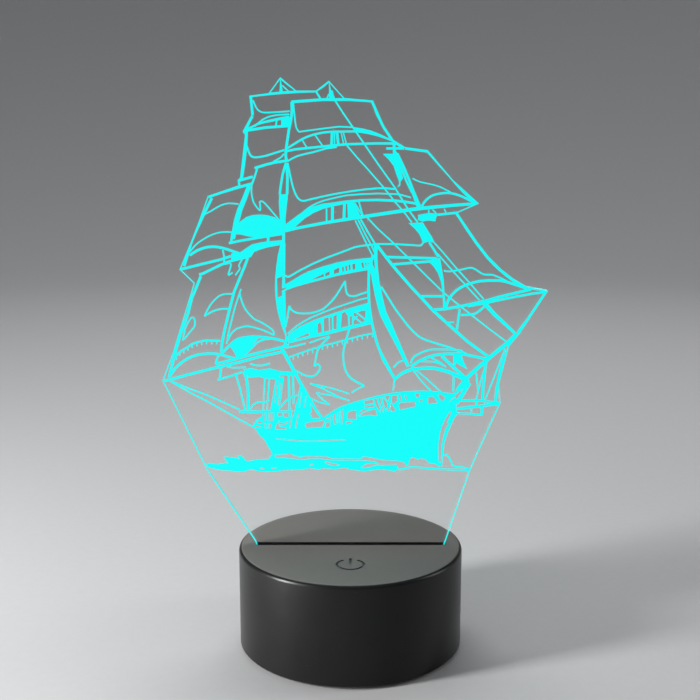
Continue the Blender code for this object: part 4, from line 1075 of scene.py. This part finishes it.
LINE_PROUD = 0.02 * MM
LINE_DEPTH = 0.1 * MM
LEAST_EDGE = 2e-6


def engrave(name, sheet):
    """Turns the flat sheet into a closed solid that is sunk into the plate's front face."""
    shape = bmesh.new()
    shape.from_mesh(sheet)
    loose = [vertex for vertex in shape.verts if not vertex.link_faces]
    bmesh.ops.delete(shape, geom=loose, context="VERTS")
    bmesh.ops.dissolve_degenerate(shape, edges=shape.edges, dist=LEAST_EDGE)
    bmesh.ops.translate(shape, verts=shape.verts, vec=(0, PLATE_FRONT - LINE_PROUD, 0))
    made = bmesh.ops.extrude_face_region(shape, geom=shape.faces[:])
    moved = [item for item in made["geom"] if isinstance(item, bmesh.types.BMVert)]
    bmesh.ops.translate(shape, verts=moved, vec=(0, LINE_PROUD + LINE_DEPTH, 0))
    bmesh.ops.recalc_face_normals(shape, faces=shape.faces)
    shape.to_mesh(sheet)
    shape.free()
    sheet.materials.append(frost.material)
    return put(name, sheet)


ship = engrave("ship_engraving", inked_sheet("ship_engraving", drawing, outline))
print("engraving:", len(ship.data.polygons), "faces")

# %% [markdown]
# ## Repeats made by node trees
# Reef points and the resin domes on the LEDs are each one small shape repeated by a rule.
# A node tree says the rule once. The helper builds a tree with named inputs, runs it on a guide mesh,
# and keeps the result as a plain mesh, because instances and live modifiers do not travel.


# %% Run a node tree on a guide
def grow(name, guide, build, sizes, finish):
    """Runs a new node tree on the guide's points and returns the grown shape as a plain mesh."""
    tree = bpy.data.node_groups.new(name + " tree", "GeometryNodeTree")
    tree.interface.new_socket("Geometry", in_out="INPUT", socket_type="NodeSocketGeometry")
    tree.interface.new_socket("Geometry", in_out="OUTPUT", socket_type="NodeSocketGeometry")
    keys = {}
    for label in sizes:
        kind = "NodeSocketInt" if isinstance(sizes[label], int) else "NodeSocketFloat"
        keys[label] = tree.interface.new_socket(label, in_out="INPUT", socket_type=kind).identifier
    start = tree.nodes.new("NodeGroupInput")
    end = tree.nodes.new("NodeGroupOutput")

    def add(kind, settings=None, **inputs):
        node = tree.nodes.new(kind)
        for key, value in (settings or {}).items():
            setattr(node, key, value)
        for key, value in inputs.items():
            socket = node.inputs[key.replace("_", " ")]
            if isinstance(value, bpy.types.NodeSocket):
                tree.links.new(value, socket)
            else:
                socket.default_value = value
        return node

    grown = build(add, start.outputs)
    real = add("GeometryNodeRealizeInstances", Geometry=grown)
    dressed = add("GeometryNodeSetMaterial", Geometry=real.outputs[0], Material=finish.material)
    tree.links.new(dressed.outputs[0], end.inputs[0])
    holder = put(name + " guide", guide)
    modifier = holder.modifiers.new("grow", "NODES")
    modifier.node_group = tree
    for label, value in sizes.items():
        modifier[keys[label]] = value
    evaluated = holder.evaluated_get(bpy.context.evaluated_depsgraph_get())
    mesh = bpy.data.meshes.new_from_object(evaluated)
    mesh.name = name
    bpy.data.objects.remove(holder)
    print(name, "grown with", len(mesh.polygons), "faces")
    return put(name, mesh)


def guide_mesh(points, joined):
    """The points on their own, or joined in a chain."""
    mesh = bpy.data.meshes.new("guide")
    links = [(index, index + 1) for index in range(len(points) - 1)] if joined else []
    mesh.from_pydata(points, links, [])
    return mesh


# %% [markdown]
# Reef points are short cords that hang from a line sewn across the sail, at even steps. The tree
# resamples the reef line into that many points and hangs one thin blade from each.


# %% Reef points along the two courses
def hang_blades(add, given):
    curve = add("GeometryNodeMeshToCurve", Mesh=given["Geometry"])
    even = add("GeometryNodeResampleCurve", Curve=curve.outputs[0], Count=given["Blades"])
    size = add("ShaderNodeCombineXYZ", X=given["Width"], Y=given["Depth"], Z=given["Length"])
    blade = add("GeometryNodeMeshCube", Size=size.outputs[0])
    drop = add("ShaderNodeMath", {"operation": "MULTIPLY"}, Value=given["Length"])
    drop.inputs[1].default_value = -0.5
    down = add("ShaderNodeCombineXYZ", Z=drop.outputs[0])
    lowered = add("GeometryNodeTransform", Geometry=blade.outputs[0], Translation=down.outputs[0])
    placed = add("GeometryNodeInstanceOnPoints", Points=even.outputs[0], Instance=lowered.outputs[0])
    return placed.outputs[0]


BLADE_WIDTH = 0.42 * MM


def reef_points(name, reef, count, length):
    depth = LINE_PROUD + LINE_DEPTH
    middle = PLATE_FRONT - LINE_PROUD + depth / 2
    path = [Vector((p.x * MM, middle, p.y * MM + BASE_TOP)) for p in through(reef)]
    sizes = {"Blades": count, "Width": BLADE_WIDTH, "Depth": depth * 1.1, "Length": length * MM}
    return grow(name, guide_mesh(path, joined=True), hang_blades, sizes, frost)


aft_reef = reef_points("aft_reef_points", [(-65.8, 75.1), *AFT_REEF[1:-1], (-50.4, 81)], 10, 1.5)
fore_reef = reef_points("fore_reef_points", [(-21.6, 75.1), *FORE_REEF[1:]], 17, 1.55)

# %% [markdown]
# Each LED has a clear drop of resin in its cup. The drop is a flattened half ball that the tree puts
# on every LED; the centres come from the CAD boxes of the seven LEDs.


# %% Resin domes on the LEDs
def cap_points(add, given):
    ball = add("GeometryNodeMeshUVSphere", Segments=20, Rings=10, Radius=given["Radius"])
    flat = add("GeometryNodeTransform", Geometry=ball.outputs[0], Scale=(1.0, 1.0, 0.3))
    placed = add("GeometryNodeInstanceOnPoints", Points=given["Geometry"], Instance=flat.outputs[0])
    return placed.outputs[0]


LED_COUNT = 7
DOME_SUNK = 0.1 * MM
led_tops = []
for number in range(1, LED_COUNT + 1):
    low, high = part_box(f"led_{number}")
    led_tops.append(((low.x + high.x) / 2, (low.y + high.y) / 2, high.z - DOME_SUNK))
dome_guide = guide_mesh(led_tops, joined=False)
domes = grow("led_domes", dome_guide, cap_points, {"Radius": 1.9 * MM}, resin)

# %% [markdown]
# ## Riding on the bodies
# The plate can be lifted out of its slot, so everything engraved in it rides on the plate's body.
# The domes belong to the base.

# %% Say what moves with what
for piece in (ship, aft_reef, fore_reef):
    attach(piece, "plate")
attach(domes, "base")

# %% [markdown]
# ## A quiet studio
# The floor runs up into a wall in one soft sweep all round, like a shallow bowl, so no horizon cuts
# through the clear plate from any side. A low soft key on the left gives the base its tall highlight,
# a weaker fill stands on the right, and a top light opens the disc.


# %% The sweep
def bowl(name, reach, bend, top, sides=72, steps=16):
    """A round floor that curves up into a wall on every side."""
    profile = [(reach - bend, 0.0)]
    for step in range(1, steps + 1):
        turn = math.pi / 2 * step / steps
        profile.append((reach - bend + math.sin(turn) * bend, bend - math.cos(turn) * bend))
    profile.append((reach, top))
    corners = [(0.0, 0.0, 0.0)]
    for radius, height in profile:
        for side in range(sides):
            angle = math.tau * side / sides
            corners.append((radius * math.cos(angle), radius * math.sin(angle), height))
    faces = [(0, 1 + side, 1 + (side + 1) % sides) for side in range(sides)]
    for row in range(len(profile) - 1):
        for side in range(sides):
            near, far = 1 + row * sides + side, 1 + row * sides + (side + 1) % sides
            faces.append((near, near + sides, far + sides, far))
    mesh = bpy.data.meshes.new(name)
    mesh.from_pydata(corners, [], faces)
    for face in mesh.polygons:
        face.use_smooth = True
    return put(name, mesh)


backdrop = bowl("studio_floor", reach=2.6, bend=1.4, top=3.0)
paper = Finish("studio paper", IOR=1.4)
paper_grain = paper.noise(0.004, 3.0, 0.6)
paper.feed("Base Color", paper.blend(paper_grain, grey(0.42), grey(0.45)))
paper.feed("Roughness", 0.85 + paper_grain * 0.1)
backdrop.data.materials.append(paper.material)
print("sweep has", len(backdrop.data.polygons), "faces")


# %% Lights and world
def soft_light(name, place, aim, width, height, watts):
    lamp = bpy.data.lights.new(name, "AREA")
    lamp.shape = "RECTANGLE"
    lamp.size = width
    lamp.size_y = height
    lamp.energy = watts
    made = put(name, lamp)
    made.location = place
    made.rotation_euler = (Vector(aim) - Vector(place)).to_track_quat("-Z", "Y").to_euler()


soft_light("key", (-0.62, -0.27, 0.19), (0, 0, 0.02), 0.11, 0.36, 11.0)
soft_light("fill", (1.2, 0.1, 0.5), (0, 0, 0.05), 0.3, 0.8, 4.0)
soft_light("top", (-0.1, 0.55, 1.4), (0, 0, 0.05), 0.9, 0.7, 10.0)

world = bpy.data.worlds.new("studio")
world.use_nodes = True
world.node_tree.nodes["Background"].inputs["Color"].default_value = (0.9, 0.93, 1.0, 1.0)
world.node_tree.nodes["Background"].inputs["Strength"].default_value = 0.42
bpy.context.scene.world = world
bpy.context.scene.view_settings.view_transform = "Standard"
print("three lights and a pale world")

# %% [markdown]
# The camera stands about 15 cm above the base and 41 cm in front of it, and looks a little down,
# so the top of the base shows as a wide ellipse and the plate keeps its height.

# %% Camera
CAMERA_PLACE = (-0.00015, -0.41213, BASE_TOP + 0.15409)
LOOK_DOWN = math.radians(10.6)
FOCAL_LENGTH = 56.84
lens = bpy.data.cameras.new("camera")
lens.lens = FOCAL_LENGTH
lens.sensor_width = 36.0
camera = put("camera", lens)
camera.location = CAMERA_PLACE
camera.rotation_euler = (math.radians(90) - LOOK_DOWN, 0, 0)
bpy.context.scene.camera = camera
print("camera looks down", round(math.degrees(LOOK_DOWN), 1), "degrees")
